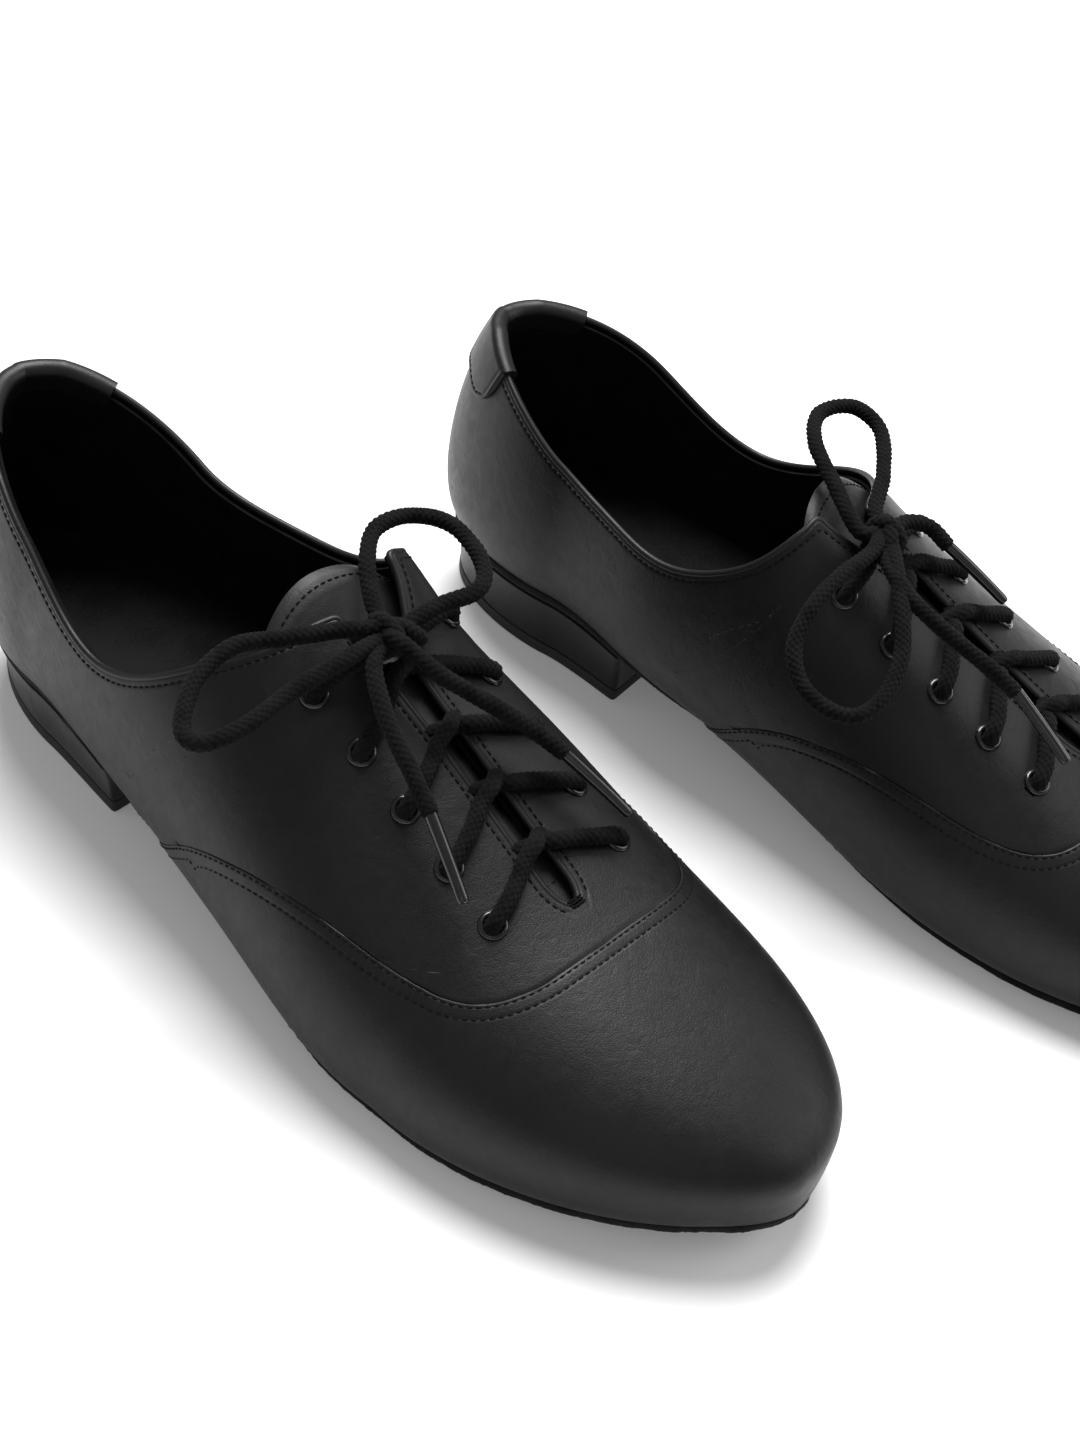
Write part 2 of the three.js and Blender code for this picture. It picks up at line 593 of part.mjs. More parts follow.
// Materials.
const material = (color, roughness, metalness = 0) =>
  new THREE.MeshStandardMaterial({ color, roughness, metalness });
const FINISH = {
  leather: () => material(0x17171a, 0.42),
  lining: () => material(0x141414, 0.8),
  suede: () => material(0x1a1a1a, 0.95),
  board: () => material(0x6b5136, 0.8),
  heel: () => material(0x111111, 0.35),
  rubber: () => material(0x161616, 0.75),
  steel: () => material(0x9a9ca0, 0.35, 0.9),
  eyelet: () => material(0x1c1d20, 0.3, 0.7),
  cotton: () => material(0x0e0e0f, 0.9),
  tip: () => material(0x151517, 0.2),
};

// Cuts the lower rim of an upper piece so that it stands a gap above the sole, and keeps the main body.
function trimmed(solid, cutter) {
  const bodies = solid.subtract(cutter).decompose();
  return bodies.reduce((best, body) => (body.volume() > best.volume() ? body : best));
}

// Every piece of one shoe but its lace, in last coordinates.
function shoePieces() {
  const soleSpace = outsoleSpace();
  const vamp = trimmed(vampShell(), soleSpace);
  const quarter = (side) => trimmed(withEyeletHoles(quarterLayer(side, LEATHER), side), soleSpace);
  const lining = (side) => quarterLayer(side, LINING, BACK_SEAM, ALL_COLUMNS, LINING_ROWS);
  const sole = outsole().subtract(screwHole());
  const board = insoleBoard();
  const heelTopAt = (s) => seatZ(s) - SOLE_THICKNESS - 2 * GAP;
  return {
    outsole_rear: [sole.intersect(rearBlock()), "suede"],
    outsole_toe: [sole.intersect(toeBlock()), "suede"],
    insole_board_rear: [board.intersect(rearBlock()), "board"],
    insole_board_toe: [board.intersect(toeBlock()), "board"],
    heel_sock: [heelSock(), "lining"],
    shank: [shank(), "steel"],
    heel_block: [heelPiece(TOP_PIECE_HEIGHT + GAP, heelTopAt).subtract(screwHole()), "heel"],
    heel_top_piece: [heelPiece(0, () => TOP_PIECE_HEIGHT), "rubber"],
    heel_screw: [heelScrew(), "steel"],
    heel_counter: [heelCounter(), "board"],
    toe_puff: [toePuff().intersect(toeBlock()), "board"],
    vamp_rear: [vamp.intersect(rearBlock()), "leather"],
    vamp_toe: [vamp.intersect(toeBlock()), "leather"],
    quarter_lateral: [quarter(LATERAL), "leather"],
    quarter_medial: [quarter(MEDIAL), "leather"],
    lining_lateral: [lining(LATERAL), "lining"],
    lining_medial: [lining(MEDIAL), "lining"],
    heel_tab: [heelTab(), "leather"],
    tongue: [tongue(), "leather"],
    eyelets_lateral: [eyeletRow(LATERAL), "eyelet"],
    eyelets_medial: [eyeletRow(MEDIAL), "eyelet"],
  };
}

function lacePieces(bow) {
  const pieces = { lace: [laceWithKnot(bow.knot), "cotton"] };
  for (const name of ["lateral", "medial"]) {
    pieces[`bow_loop_${name}`] = [cord(bow.loops[name], CORD_RADIUS, LACE_STEPS.loop), "cotton"];
    pieces[`lace_end_${name}`] = [cord(bow.ends[name], CORD_RADIUS, LACE_STEPS.end), "cotton"];
    pieces[`aglet_${name}`] = [aglet(bow, name), "tip"];
  }
  return pieces;
}

// From last coordinates to the part's frame: toes to -Y, the outer side to -X on the right shoe.
function meshOf(name, solid, finish, mirrored) {
  const { numProp, vertProperties, triVerts } = solid.getMesh();
  const positions = [];
  for (let i = 0; i < vertProperties.length; i += numProp) {
    const [s, x, z] = vertProperties.slice(i, i + 3);
    positions.push((mirrored ? 1 : -1) * (x - HEEL_CENTRE.x), HEEL_CENTRE.s - s, z);
  }
  const indices = [...triVerts];
  if (!mirrored) indices.reverse();
  const geometry = new THREE.BufferGeometry();
  geometry.setAttribute("position", new THREE.Float32BufferAttribute(positions, 3));
  geometry.setIndex(indices);
  geometry.computeVertexNormals();
  const mesh = new THREE.Mesh(geometry, FINISH[finish]());
  mesh.name = name;
  return mesh;
}

const commonPieces = shoePieces();

function shoe(prefix, mirrored) {
  const group = new THREE.Group();
  const pieces = { ...commonPieces, ...lacePieces(BOWS[prefix]) };
  Object.entries(pieces).forEach(([name, [solid, finish]]) =>
    group.add(meshOf(`${prefix}_${name}`, solid, finish, mirrored)),
  );
  return group;
}

const pair = new THREE.Group();
const rightShoe = shoe("right", false);
const leftShoe = shoe("left", true);
leftShoe.position.set(LEFT_SHOE.x, LEFT_SHOE.y, 0);
leftShoe.rotation.z = LEFT_SHOE.yaw * TO_RADIANS;
pair.add(rightShoe, leftShoe);

export default pair;
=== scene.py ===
# The looks of a pair of black leather lace-up dance shoes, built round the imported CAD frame.
# A shoe is drawn in last coordinates in millimetres: s from the heel back to the toe tip, x positive
# on the outer (lateral) side, z above the floor. Shoe.place turns them into the row frame in metres.
import json
import math

import bmesh
import bpy
import numpy as np
from mathutils import Matrix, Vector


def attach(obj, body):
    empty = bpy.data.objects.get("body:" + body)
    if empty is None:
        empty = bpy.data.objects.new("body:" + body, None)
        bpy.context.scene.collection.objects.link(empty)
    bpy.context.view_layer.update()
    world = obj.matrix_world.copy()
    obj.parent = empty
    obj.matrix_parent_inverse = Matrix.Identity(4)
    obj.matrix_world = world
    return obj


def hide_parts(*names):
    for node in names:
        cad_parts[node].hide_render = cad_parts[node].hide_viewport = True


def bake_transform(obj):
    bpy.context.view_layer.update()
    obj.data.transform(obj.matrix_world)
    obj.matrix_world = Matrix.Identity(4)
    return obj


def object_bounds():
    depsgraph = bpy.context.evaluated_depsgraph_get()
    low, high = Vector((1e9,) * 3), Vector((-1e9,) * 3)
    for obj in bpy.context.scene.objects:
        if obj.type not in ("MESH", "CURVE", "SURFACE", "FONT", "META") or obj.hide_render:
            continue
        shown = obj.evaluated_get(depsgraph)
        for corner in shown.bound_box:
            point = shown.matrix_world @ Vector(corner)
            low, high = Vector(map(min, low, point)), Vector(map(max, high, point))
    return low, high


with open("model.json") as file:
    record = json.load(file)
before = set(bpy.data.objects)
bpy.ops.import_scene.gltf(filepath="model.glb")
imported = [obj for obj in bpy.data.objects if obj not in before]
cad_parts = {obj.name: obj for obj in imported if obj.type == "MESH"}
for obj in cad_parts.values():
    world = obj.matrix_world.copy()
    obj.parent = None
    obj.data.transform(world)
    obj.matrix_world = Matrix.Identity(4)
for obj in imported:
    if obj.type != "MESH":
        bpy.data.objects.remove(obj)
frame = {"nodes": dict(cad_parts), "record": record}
cad_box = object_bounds()
record = frame["record"]

LATERAL, MEDIAL = 1, -1
FEATHER, CROWN = -80.0, 90.0

# The last. It follows the CAD model, but for the collar, the medial facing and the eased heel sides.
LENGTH = 285.0
HEEL_ARC_END, HEEL_ARC_REACH, HEEL_ROUNDNESS = 45.0, 53.0, 1.8
HEEL_CENTRE = (40.0, 5.0)
TOE_START = {LATERAL: 198.0, MEDIAL: 211.0}
TOE_ROUNDNESS = {LATERAL: 1.65, MEDIAL: 2.25}
TOE_DROP_START, TOE_DROP_ROUNDNESS = 224.7, 2.2
SLIT_HALF, SLIT_END, THROAT, NOSE = 3.8, 207.0, 129.0, 218.5
EYELET_STATIONS = [136.5, 152.3, 168.1, 183.9, 199.7]
EYELET_OFFSET = {LATERAL: 20.0, MEDIAL: 22.0}
FLEX_START, FLEX_END = 221.0, 252.0
SOLE_THICKNESS = 3.5


def spline(stations, values):
    """A natural cubic spline through the points, level outside them."""
    x = np.array(stations, float)
    y = np.array(values, float)
    h = np.diff(x)
    n = len(x)
    a = np.eye(n)
    b = np.zeros(n)
    for i in range(1, n - 1):
        a[i, i - 1 : i + 2] = h[i - 1], 2 * (h[i - 1] + h[i]), h[i]
        b[i] = 6 * ((y[i + 1] - y[i]) / h[i] - (y[i] - y[i - 1]) / h[i - 1])
    m = np.linalg.solve(a, b)

    def at(s):
        s = np.clip(s, x[0], x[-1])
        i = np.clip(np.searchsorted(x, s) - 1, 0, n - 2)
        d1, d0 = x[i + 1] - s, s - x[i]
        curved = (m[i] * d1**3 + m[i + 1] * d0**3) / (6 * h[i])
        left = (y[i] / h[i] - m[i] * h[i] / 6) * d1
        right = (y[i + 1] / h[i] - m[i + 1] * h[i] / 6) * d0
        return curved + left + right

    return at


def smoothstep(a, b, t):
    t = np.clip((np.asarray(t, float) - a) / (b - a), 0, 1)
    return t * t * (3 - 2 * t)


HEEL_EASE, HEEL_EASE_END = 8.0, 65.0  # how softly the heel's round back runs into the sides


def eased(s):
    """Stations held back just ahead of the heel arc, so that the sides leave it without a corner."""
    ahead = np.maximum(np.asarray(s, float) - HEEL_ARC_END, 0)
    held = HEEL_EASE * (1 - np.exp(-ahead / HEEL_EASE)) * (1 - smoothstep(15, HEEL_EASE_END, ahead))
    return s - held


ridge_line = spline([0, 45, 110, 150, 200, 285], [7, 6, -2, -5.5, -5.5, -5.5])


def ridge_x(s):
    return ridge_line(eased(s))


half_width = {
    LATERAL: spline([45, 75, 110, 150, 185, 205], [32, 38, 45, 52.5, 55, 52]),
    MEDIAL: spline([45, 75, 110, 150, 185, 215], [32, 38, 37.5, 40.5, 45.5, 47]),
}
seat_z = spline([0, 30, 60, 90, 130, 165, 195, 215, 235, 260, 285],
                [25.6, 25.6, 25.2, 20.5, 13, 7, 3.8, 3.8, 5.2, 8, 12])
ridge_z = spline([0, 45, 80, 110, 140, 165, 195, 225, 255, 285],
                 [125, 123, 113, 97, 80, 68, 54.5, 45, 40, 38])
side_fullness = {
    LATERAL: spline([0, 45, 100, 150, 200, 240, 285], [1, 1, 1.05, 1.2, 1.08, 0.92, 0.86]),
    MEDIAL: spline([0, 45, 100, 150, 200, 240, 285], [1.1, 0.95, 0.75, 0.6, 0.62, 0.74, 0.9]),
}
crown_fullness = spline([0, 100, 150, 200, 240], [1, 1, 0.9, 0.9, 0.85])
waist_rise = spline([0, 60, 110, 170, 230, 285], [18, 18, 18, 13, 11, 9])
tuck = {
    LATERAL: spline([0, 60, 110, 150, 190, 285], [5, 5, 5.8, 4.7, 3.8, 3.9]),
    MEDIAL: spline([0, 60, 110, 150, 190, 285], [4, 6.5, 14, 11.5, 7.3, 4.5]),
}
collar_z = {
    LATERAL: spline([8, 30, 45, 60, 78, 92, 103, 112, 122, THROAT],
                    [91, 84, 76, 66.5, 60.5, 63.5, 70, 76.5, 83, 87]),
    MEDIAL: spline([8, 30, 50, 68, 90, 102, 113, 122, THROAT],
                   [91, 80, 70.5, 66.5, 66.5, 71.5, 79, 87, 92]),
}
SEAM_V = [0, 0.17, 0.37, 0.59, 0.77, 0.87, 1]
seam_s = spline(SEAM_V, [104, 122, 152, 183, 209, 216.5, NOSE])
seam_climb = spline(SEAM_V[1:], [0, 21, 35, 48, 64, CROWN])


def seam_angle(v):
    """Below the waist the seam is straight; above it the seam climbs in a curve."""
    v = np.asarray(v, float)
    return np.where(v < SEAM_V[1], FEATHER * (1 - v / SEAM_V[1]), seam_climb(v))


def station_of(q):
    return np.where(q > 1, HEEL_ARC_END + (q - 1) * (LENGTH - HEEL_ARC_END), HEEL_ARC_END)


def q_of(s):
    return 1 + (np.asarray(s, float) - HEEL_ARC_END) / (LENGTH - HEEL_ARC_END)


def waist_z(s):
    return seat_z(s) + waist_rise(s)


def by_side(side, table, s):
    return np.where(np.asarray(side) > 0, table[LATERAL](s), table[MEDIAL](s))


def width_at(s, side):
    start = np.where(np.asarray(side) > 0, TOE_START[LATERAL], TOE_START[MEDIAL])
    power = np.where(np.asarray(side) > 0, TOE_ROUNDNESS[LATERAL], TOE_ROUNDNESS[MEDIAL])
    w = by_side(side, half_width, eased(np.minimum(s, start)))
    u = np.clip((s - start) / (LENGTH - start), 0, 1)
    return w * (1 - u**power) ** (1 / power)


def crown_z(s):
    u = np.clip((s - TOE_DROP_START) / (LENGTH - TOE_DROP_START), 0, 1)
    drop = (1 - u**TOE_DROP_ROUNDNESS) ** (1 / TOE_DROP_ROUNDNESS)
    return waist_z(s) + (ridge_z(s) - waist_z(s)) * drop


def surface(q, side, angle):
    """Points of the last. q: 0 heel back, 1 end of the heel arc, 2 toe. angle in degrees."""
    q, side, angle = np.broadcast_arrays(np.asarray(q, float), side, np.asarray(angle, float))
    s = station_of(q)
    turn = np.clip(q, -1, 1) * math.pi / 2
    across = np.abs(np.cos(np.radians(angle)))
    up = np.sin(np.radians(angle))
    wide = width_at(s, side)
    under = by_side(side, tuck, s) * np.minimum(1, wide / 20)
    arc = (np.abs(np.cos(turn)) / HEEL_ARC_REACH) ** HEEL_ROUNDNESS
    arc = arc + (np.abs(np.sin(turn)) / np.maximum(wide, 1)) ** HEEL_ROUNDNESS
    reach = np.where(q > 1, wide, arc ** (-1 / HEEL_ROUNDNESS))
    radius = np.where(
        angle >= 0, reach * across ** by_side(side, side_fullness, s), reach - under + under * across
    )
    above = (crown_z(s) - waist_z(s)) * np.abs(up) ** crown_fullness(s)
    z = np.where(angle >= 0, waist_z(s) + above, waist_z(s) + waist_rise(s) * up)
    along = np.where(q > 1, s, HEEL_ARC_END - radius * np.cos(turn))
    x = np.where(q > 1, ridge_x(s) + side * radius, ridge_x(HEEL_ARC_END) + side * radius * np.sin(turn))
    return np.stack([along, x, z], -1)


def angle_at_height(q, z):
    s = station_of(q)
    share = np.clip((z - waist_z(s)) / (crown_z(s) - waist_z(s)), 0, 1)
    return np.degrees(np.arcsin(share ** (1 / crown_fullness(s))))


def angle_at_offset(s, side, offset):
    share = np.clip(np.abs(offset) / np.maximum(width_at(s, side), 1e-6), 0, 1)
    return np.degrees(np.arccos(share ** (1 / by_side(side, side_fullness, s))))


def side_of(s, x):
    return np.where(x >= ridge_x(s), LATERAL, MEDIAL)


def over_plan(s, x):
    """The upper surface's points above plan points (s, x)."""
    s, x = np.broadcast_arrays(np.asarray(s, float), np.asarray(x, float))
    side = side_of(s, x)
    angle = angle_at_offset(s, side, x - ridge_x(s))
    return surface(q_of(s), side, angle)


def unit(v):
    v = np.asarray(v, float)
    return v / np.maximum(np.linalg.norm(v, axis=-1, keepdims=True), 1e-9)


def grid_normals(p):
    """Normals of a grid of points from its own central differences."""
    return unit(np.cross(np.gradient(p, axis=0), np.gradient(p, axis=1)))


def arc_lengths(path):
    steps = np.linalg.norm(np.diff(path, axis=0), axis=1)
    return np.concatenate([[0], np.cumsum(steps)])


def interpolate(at, places, table):
    """Rows of a table, read at places between them."""
    return np.stack([np.interp(at, places, column) for column in np.asarray(table, float).T], -1)


def resample(path, at):
    """Points of a polyline at given arc lengths."""
    path = np.asarray(path, float)
    return interpolate(at, arc_lengths(path), path)


def whole_ring(half):
    """A line on the lateral side and its medial twin, as one line over the middle."""
    return np.vstack([half(LATERAL), half(MEDIAL)[::-1][1:]])


def even(path, spacing):
    total = arc_lengths(np.asarray(path, float))[-1]
    return resample(path, np.linspace(0, total, max(2, int(round(total / spacing)) + 1)))


def smooth_path(points, spacing):
    """A Catmull-Rom curve through control points, resampled evenly."""
    p = np.asarray(points, float)
    p = np.vstack([2 * p[0] - p[1], p, 2 * p[-1] - p[-2]])
    out = []
    for a, b, c, d in zip(p[:-3], p[1:-2], p[2:-1], p[3:]):
        for t in np.linspace(0, 1, 24, endpoint=False):
            square = (2 * a - 5 * b + 4 * c - d) * t**2
            out.append(0.5 * (2 * b + (c - a) * t + square + (3 * b - a - 3 * c + d) * t**3))
    out.append(p[-2])
    return even(out, spacing)


# Meshes.
class Shoe:
    """Where one shoe stands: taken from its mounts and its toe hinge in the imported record."""

    def __init__(self, name):
        self.name = name
        mounts = {m["name"]: m for m in record["mounts"]}
        joints = {j["name"]: j for j in record["behaviour"]["joints"]}
        self.origin = np.array(mounts[f"{name}_heel_rest"]["pos_m"], float)
        axis = np.array(joints[f"{name}_toe_flex"]["axis"], float)
        self.forward = np.array([-axis[1], axis[0], 0.0])
        self.mirrored = name == "left"
        self.outer = -axis if self.mirrored else axis

    def place(self, points):
        p = np.asarray(points, float)
        along = (p[..., :1] - HEEL_CENTRE[0]) * self.forward
        across = (p[..., 1:2] - HEEL_CENTRE[1]) * self.outer
        return self.origin + (along + across + p[..., 2:] * np.array([0, 0, 1.0])) / 1000

    def body(self, part):
        return f"{self.name}_{part}"


def mesh_object(shoe, name, points, faces, *materials, face_slots=None):
    """A mesh from last coordinates. Faces are listed for the right-handed last frame."""
    mesh = bpy.data.meshes.new(f"{shoe.name}_{name}")
    placed = shoe.place(points)
    if not shoe.mirrored:
        faces = [tuple(reversed(f)) for f in faces]
    mesh.from_pydata(placed.tolist(), [], faces)
    for material in materials:
        mesh.materials.append(material)
    if face_slots is not None:
        mesh.polygons.foreach_set("material_index", face_slots)
    mesh.polygons.foreach_set("use_smooth", [True] * len(mesh.polygons))
    mesh.update()
    obj = bpy.data.objects.new(mesh.name, mesh)
    bpy.context.scene.collection.objects.link(obj)
    return obj


def grid_faces(rows, columns, start=0, flip=False, wrap=False):
    """Quads over a rows x columns grid of vertices."""
    faces = []
    for i in range(rows - 1):
        for j in range(columns if wrap else columns - 1):
            k = (j + 1) % columns
            quad = (
                start + i * columns + j,
                start + (i + 1) * columns + j,
                start + (i + 1) * columns + k,
                start + i * columns + k,
            )
            faces.append(tuple(reversed(quad)) if flip else quad)
    return faces


def slab_faces(rows, columns):
    """A closed slab: an outer grid, an inner grid and the four edges."""
    n = rows * columns
    rim = [i * columns for i in range(rows)]
    rim += [(rows - 1) * columns + j for j in range(1, columns)]
    rim += [i * columns + columns - 1 for i in range(rows - 2, -1, -1)]
    rim += list(range(columns - 2, 0, -1))
    edges = [(b, a, a + n, b + n) for a, b in zip(rim, rim[1:] + rim[:1])]
    return grid_faces(rows, columns) + grid_faces(rows, columns, n, flip=True) + edges


def slab_object(shoe, name, outer, inner, material, inner_material=None):
    rows, columns = outer.shape[:2]
    points = np.vstack([outer.reshape(-1, 3), inner.reshape(-1, 3)])
    faces = slab_faces(rows, columns)
    count = (rows - 1) * (columns - 1)
    slots = [0] * count + [1] * count + [0] * (len(faces) - 2 * count)
    obj = mesh_object(shoe, name, points, faces, material, inner_material or material, face_slots=slots)
    sharp_rims(obj, 2 * count)
    weld(obj)
    return obj


def sharp_rims(obj, first_rim_face):
    """Keeps a slab's two faces smooth up to its edges."""
    rim = set()
    for polygon in list(obj.data.polygons)[first_rim_face:]:
        rim.update(polygon.edge_keys)
    for edge in obj.data.edges:
        edge.use_edge_sharp = edge.key in rim


def weld(obj, distance=1e-5):
    bm = bmesh.new()
    bm.from_mesh(obj.data)
    bmesh.ops.remove_doubles(bm, verts=bm.verts, dist=distance)
    bmesh.ops.dissolve_degenerate(bm, edges=bm.edges, dist=1e-7)
    bmesh.ops.recalc_face_normals(bm, faces=bm.faces)
    bm.to_mesh(obj.data)
    bm.free()


def frames_along(path, up):
    """Two unit vectors across a path at each of its points, turned as little as possible."""
    tangent = unit(np.gradient(path, axis=0))
    first = unit(np.cross(tangent[0], up))
    sides = [first if np.linalg.norm(first) > 0.5 else unit(np.cross(tangent[0], [0.3, 1, 0.2]))]
    for t in tangent[1:]:
        side = sides[-1] - t * np.dot(sides[-1], t)
        sides.append(unit(side))
    sides = np.array(sides)
    return sides, np.cross(tangent, sides)


def tube_points(path, radius, around, up=(0, 0, 1)):
    """Rings round a path. radius is a number, one per ring, or a rings x around table."""
    sides, ups = frames_along(path, np.array(up, float))
    turn = np.linspace(0, 2 * math.pi, around, endpoint=False)
    ring = sides[:, None] * np.cos(turn)[None, :, None] + ups[:, None] * np.sin(turn)[None, :, None]
    radii = np.asarray(radius, float)
    if radii.ndim < 2:
        radii = np.broadcast_to(radii.reshape(-1, 1), (len(path), 1))
    return path[:, None] + ring * radii[..., None]


def tube_faces(rings, around, start=0):
    faces = grid_faces(rings, around, start, flip=True, wrap=True)
    faces.append(tuple(start + j for j in range(around)))
    faces.append(tuple(start + (rings - 1) * around + j for j in reversed(range(around))))
    return faces


class Parts:
    """Collects several closed meshes that make one object."""

    def __init__(self):
        self.points = []
        self.faces = []
        self.count = 0

    def add(self, points, faces):
        points = np.asarray(points, float).reshape(-1, 3)
        self.faces += [tuple(i + self.count for i in f) for f in faces]
        self.points.append(points)
        self.count += len(points)

    def tube(self, path, radius, around, up=(0, 0, 1)):
        rings = tube_points(np.asarray(path, float), radius, around, up)
        self.add(rings, tube_faces(len(path), around))

    def object(self, shoe, name, material):
        return mesh_object(shoe, name, np.vstack(self.points), self.faces, material)


# Braided cord.
CORD_RADIUS = 2.05
CORD_AROUND = 40
CORD_STEP = 0.3
BRAID_CELLS = 6  # round the cord
BRAID_CELL = 1.8  # length of a cell
BRAID_DEPTH = 0.42


def braid_radius(rings, radius=CORD_RADIUS):
    """A diamond braid: strands of each hand come to the top in turn, as in a chequerboard."""
    along = np.arange(rings)[:, None] * CORD_STEP / BRAID_CELL * math.pi
    turn = np.linspace(0, 2 * math.pi, CORD_AROUND, endpoint=False)[None] * BRAID_CELLS / 2
    one = np.abs(np.sin(turn + along))
    other = np.abs(np.sin(turn - along))
    first_hand = np.floor((turn + along) / math.pi) + np.floor((turn - along) / math.pi)
    over = np.where(first_hand % 2 == 0, one**0.9 * other**0.35, other**0.9 * one**0.35) - 0.6
    slack = 0.05 * np.sin(along * 0.23) + 0.03 * np.sin(along * 0.41 + turn)
    table = radius + BRAID_DEPTH * over + slack
    ends = np.minimum(np.arange(rings), np.arange(rings)[::-1])[:, None]
    return table * np.minimum(1, 0.55 + 0.15 * ends)


def cord_along(parts, controls, radius=CORD_RADIUS, up=(0, 0, 1)):
    path = smooth_path(controls, CORD_STEP)
    parts.tube(path, braid_radius(len(path), radius=radius), CORD_AROUND, up)
    return path


# Materials. Node graphs are written as calls: a value that is another node's output becomes a link.
def put(socket, value):
    if isinstance(value, bpy.types.NodeSocket):
        socket.id_data.links.new(value, socket)
    else:
        socket.default_value = value


def settle(node, **settings):
    """Sets a node's inputs, with _ for a space in their names, or its properties."""
    for key, value in settings.items():
        socket = key.replace("_", " ")
        if socket in node.inputs:
            put(node.inputs[socket], value)
        else:
            setattr(node, key, value)
    return node


def add_node(nodes, kind, output, **settings):
    return settle(nodes.new(f"ShaderNode{kind}"), **settings).outputs[output]


def maths(nodes, kind, operation, output, *values):
    """A maths node, whose inputs have no names of their own."""
    node = settle(nodes.new(f"ShaderNode{kind}"), operation=operation)
    for socket, value in zip(node.inputs, values):
        put(socket, value)
    return node.outputs[output]


def bump(nodes, height, strength, distance, **below):
    return add_node(nodes, "Bump", "Normal", Height=height, Strength=strength, Distance=distance, **below)


def new_material(name, scale):
    """A material, with object coordinates, which are the row frame's, in a scale per metre."""
    material = bpy.data.materials.new(name)
    material.use_nodes = True
    nodes = material.node_tree.nodes
    place = add_node(nodes, "TexCoord", "Object")
    where = add_node(nodes, "Mapping", "Vector", Vector=place, Scale=scale)
    return material, nodes, where, nodes["Principled BSDF"]


def ramp(nodes, source, stops):
    node = settle(nodes.new("ShaderNodeValToRGB"), Fac=source)
    node.color_ramp.elements[0].position = stops[0][0]
    node.color_ramp.elements[1].position = stops[-1][0]
    for position, _ in stops[1:-1]:
        node.color_ramp.elements.new(position)
    for element, (_, shade) in zip(node.color_ramp.elements, stops):
        element.color = (*shade, 1)
    return node.outputs["Color"]


def grey(v, tint=0.0):
    return (v * (1 - tint), v, v * (1 + 2 * tint))


PER_MM = (1000.0,) * 3
ALONG_PARTS = (900.0, 900.0, 120.0)  # scuffs are drawn out upwards


def leather_material(name="black_leather", base=0.0085, rough=0.44, grain=1.0):
    """Smooth black leather: fine pebbled grain, pores, soft creasing and an uneven satin finish."""
    material, nodes, where, shader = new_material(name, PER_MM)

    def noise(output="Fac", **settings):
        return add_node(nodes, "TexNoise", output, Vector=where, **settings)

    pores = noise(Scale=3.2, Detail=3.0, Roughness=0.6)
    cloud = noise(Scale=0.035, Detail=4.0, Roughness=0.55)
    wrinkle = noise(Scale=0.22, Detail=5.0, Roughness=0.6, Distortion=0.6)
    warp = noise("Color", Scale=0.9, Detail=2.0)
    warped = maths(nodes, "VectorMath", "MULTIPLY_ADD", "Vector", warp, (0.8, 0.8, 0.8), where)
    cells = add_node(nodes, "TexVoronoi", "Distance", feature="DISTANCE_TO_EDGE", Vector=warped, Scale=1.5)
    pebble = add_node(nodes, "MapRange", "Result", Value=cells, From_Max=0.22)
    gloss = add_node(nodes, "MapRange", "Result", Value=wrinkle, From_Min=0.3, From_Max=0.7,
                     To_Min=rough - 0.05, To_Max=rough + 0.06)
    shade = ramp(nodes, cloud, [(0.3, grey(base * 0.82, 0.01)), (0.55, grey(base, 0.015)),
                                (0.75, grey(base * 1.22, 0.02))])
    broad = bump(nodes, wrinkle, 0.16 * grain, 0.0009)
    middle = bump(nodes, pores, 0.22 * grain, 0.0001, Normal=broad)
    fine = bump(nodes, pebble, 0.16 * grain, 0.00012, Normal=middle)
    settle(shader, Base_Color=shade, Roughness=gloss, Normal=fine, Specular_IOR_Level=0.24)
    return material


def cloth_material(name, base, scale, strength, rough=0.9, sheen=0.0):
    """Matt fibrous surface for lining, cord, thread and suede."""
    material, nodes, where, shader = new_material(name, PER_MM)
    fibre = add_node(nodes, "TexNoise", "Fac", Vector=where, Scale=scale, Detail=6.0, Roughness=0.7)
    patch = add_node(nodes, "TexNoise", "Fac", Vector=where, Scale=scale * 0.06, Detail=3.0)
    both = maths(nodes, "Math", "ADD", "Value", fibre, patch)
    shade = ramp(nodes, both, [(0.75, grey(base * 0.6)), (1.0, grey(base)), (1.25 / 1.3, grey(base * 1.7))])
    settle(shader, Base_Color=shade, Roughness=rough, Sheen_Weight=sheen, Sheen_Roughness=0.5,
           Specular_IOR_Level=0.1, Normal=bump(nodes, fibre, strength, 0.0003))
    return material


def hard_material(name, base, rough, metallic=0.0, scratch=0.1, coat=0.0):
    """Lacquer, moulded plastic, rubber or steel with fine scuffs."""
    material, nodes, where, shader = new_material(name, ALONG_PARTS)
    scuff = add_node(nodes, "TexNoise", "Fac", Vector=where, Scale=1.2, Detail=6.0, Roughness=0.7)
    shade = ramp(nodes, scuff, [(0.35, [c * 0.8 for c in base]), (0.7, [c * 1.25 for c in base])])
    level = add_node(nodes, "MapRange", "Result", Value=scuff, To_Min=max(0.03, rough - scratch),
                     To_Max=rough + scratch)
    settle(shader, Base_Color=shade, Roughness=level, Metallic=metallic, Coat_Weight=coat,
           Normal=bump(nodes, scuff, 0.12, 0.0001))
    return material


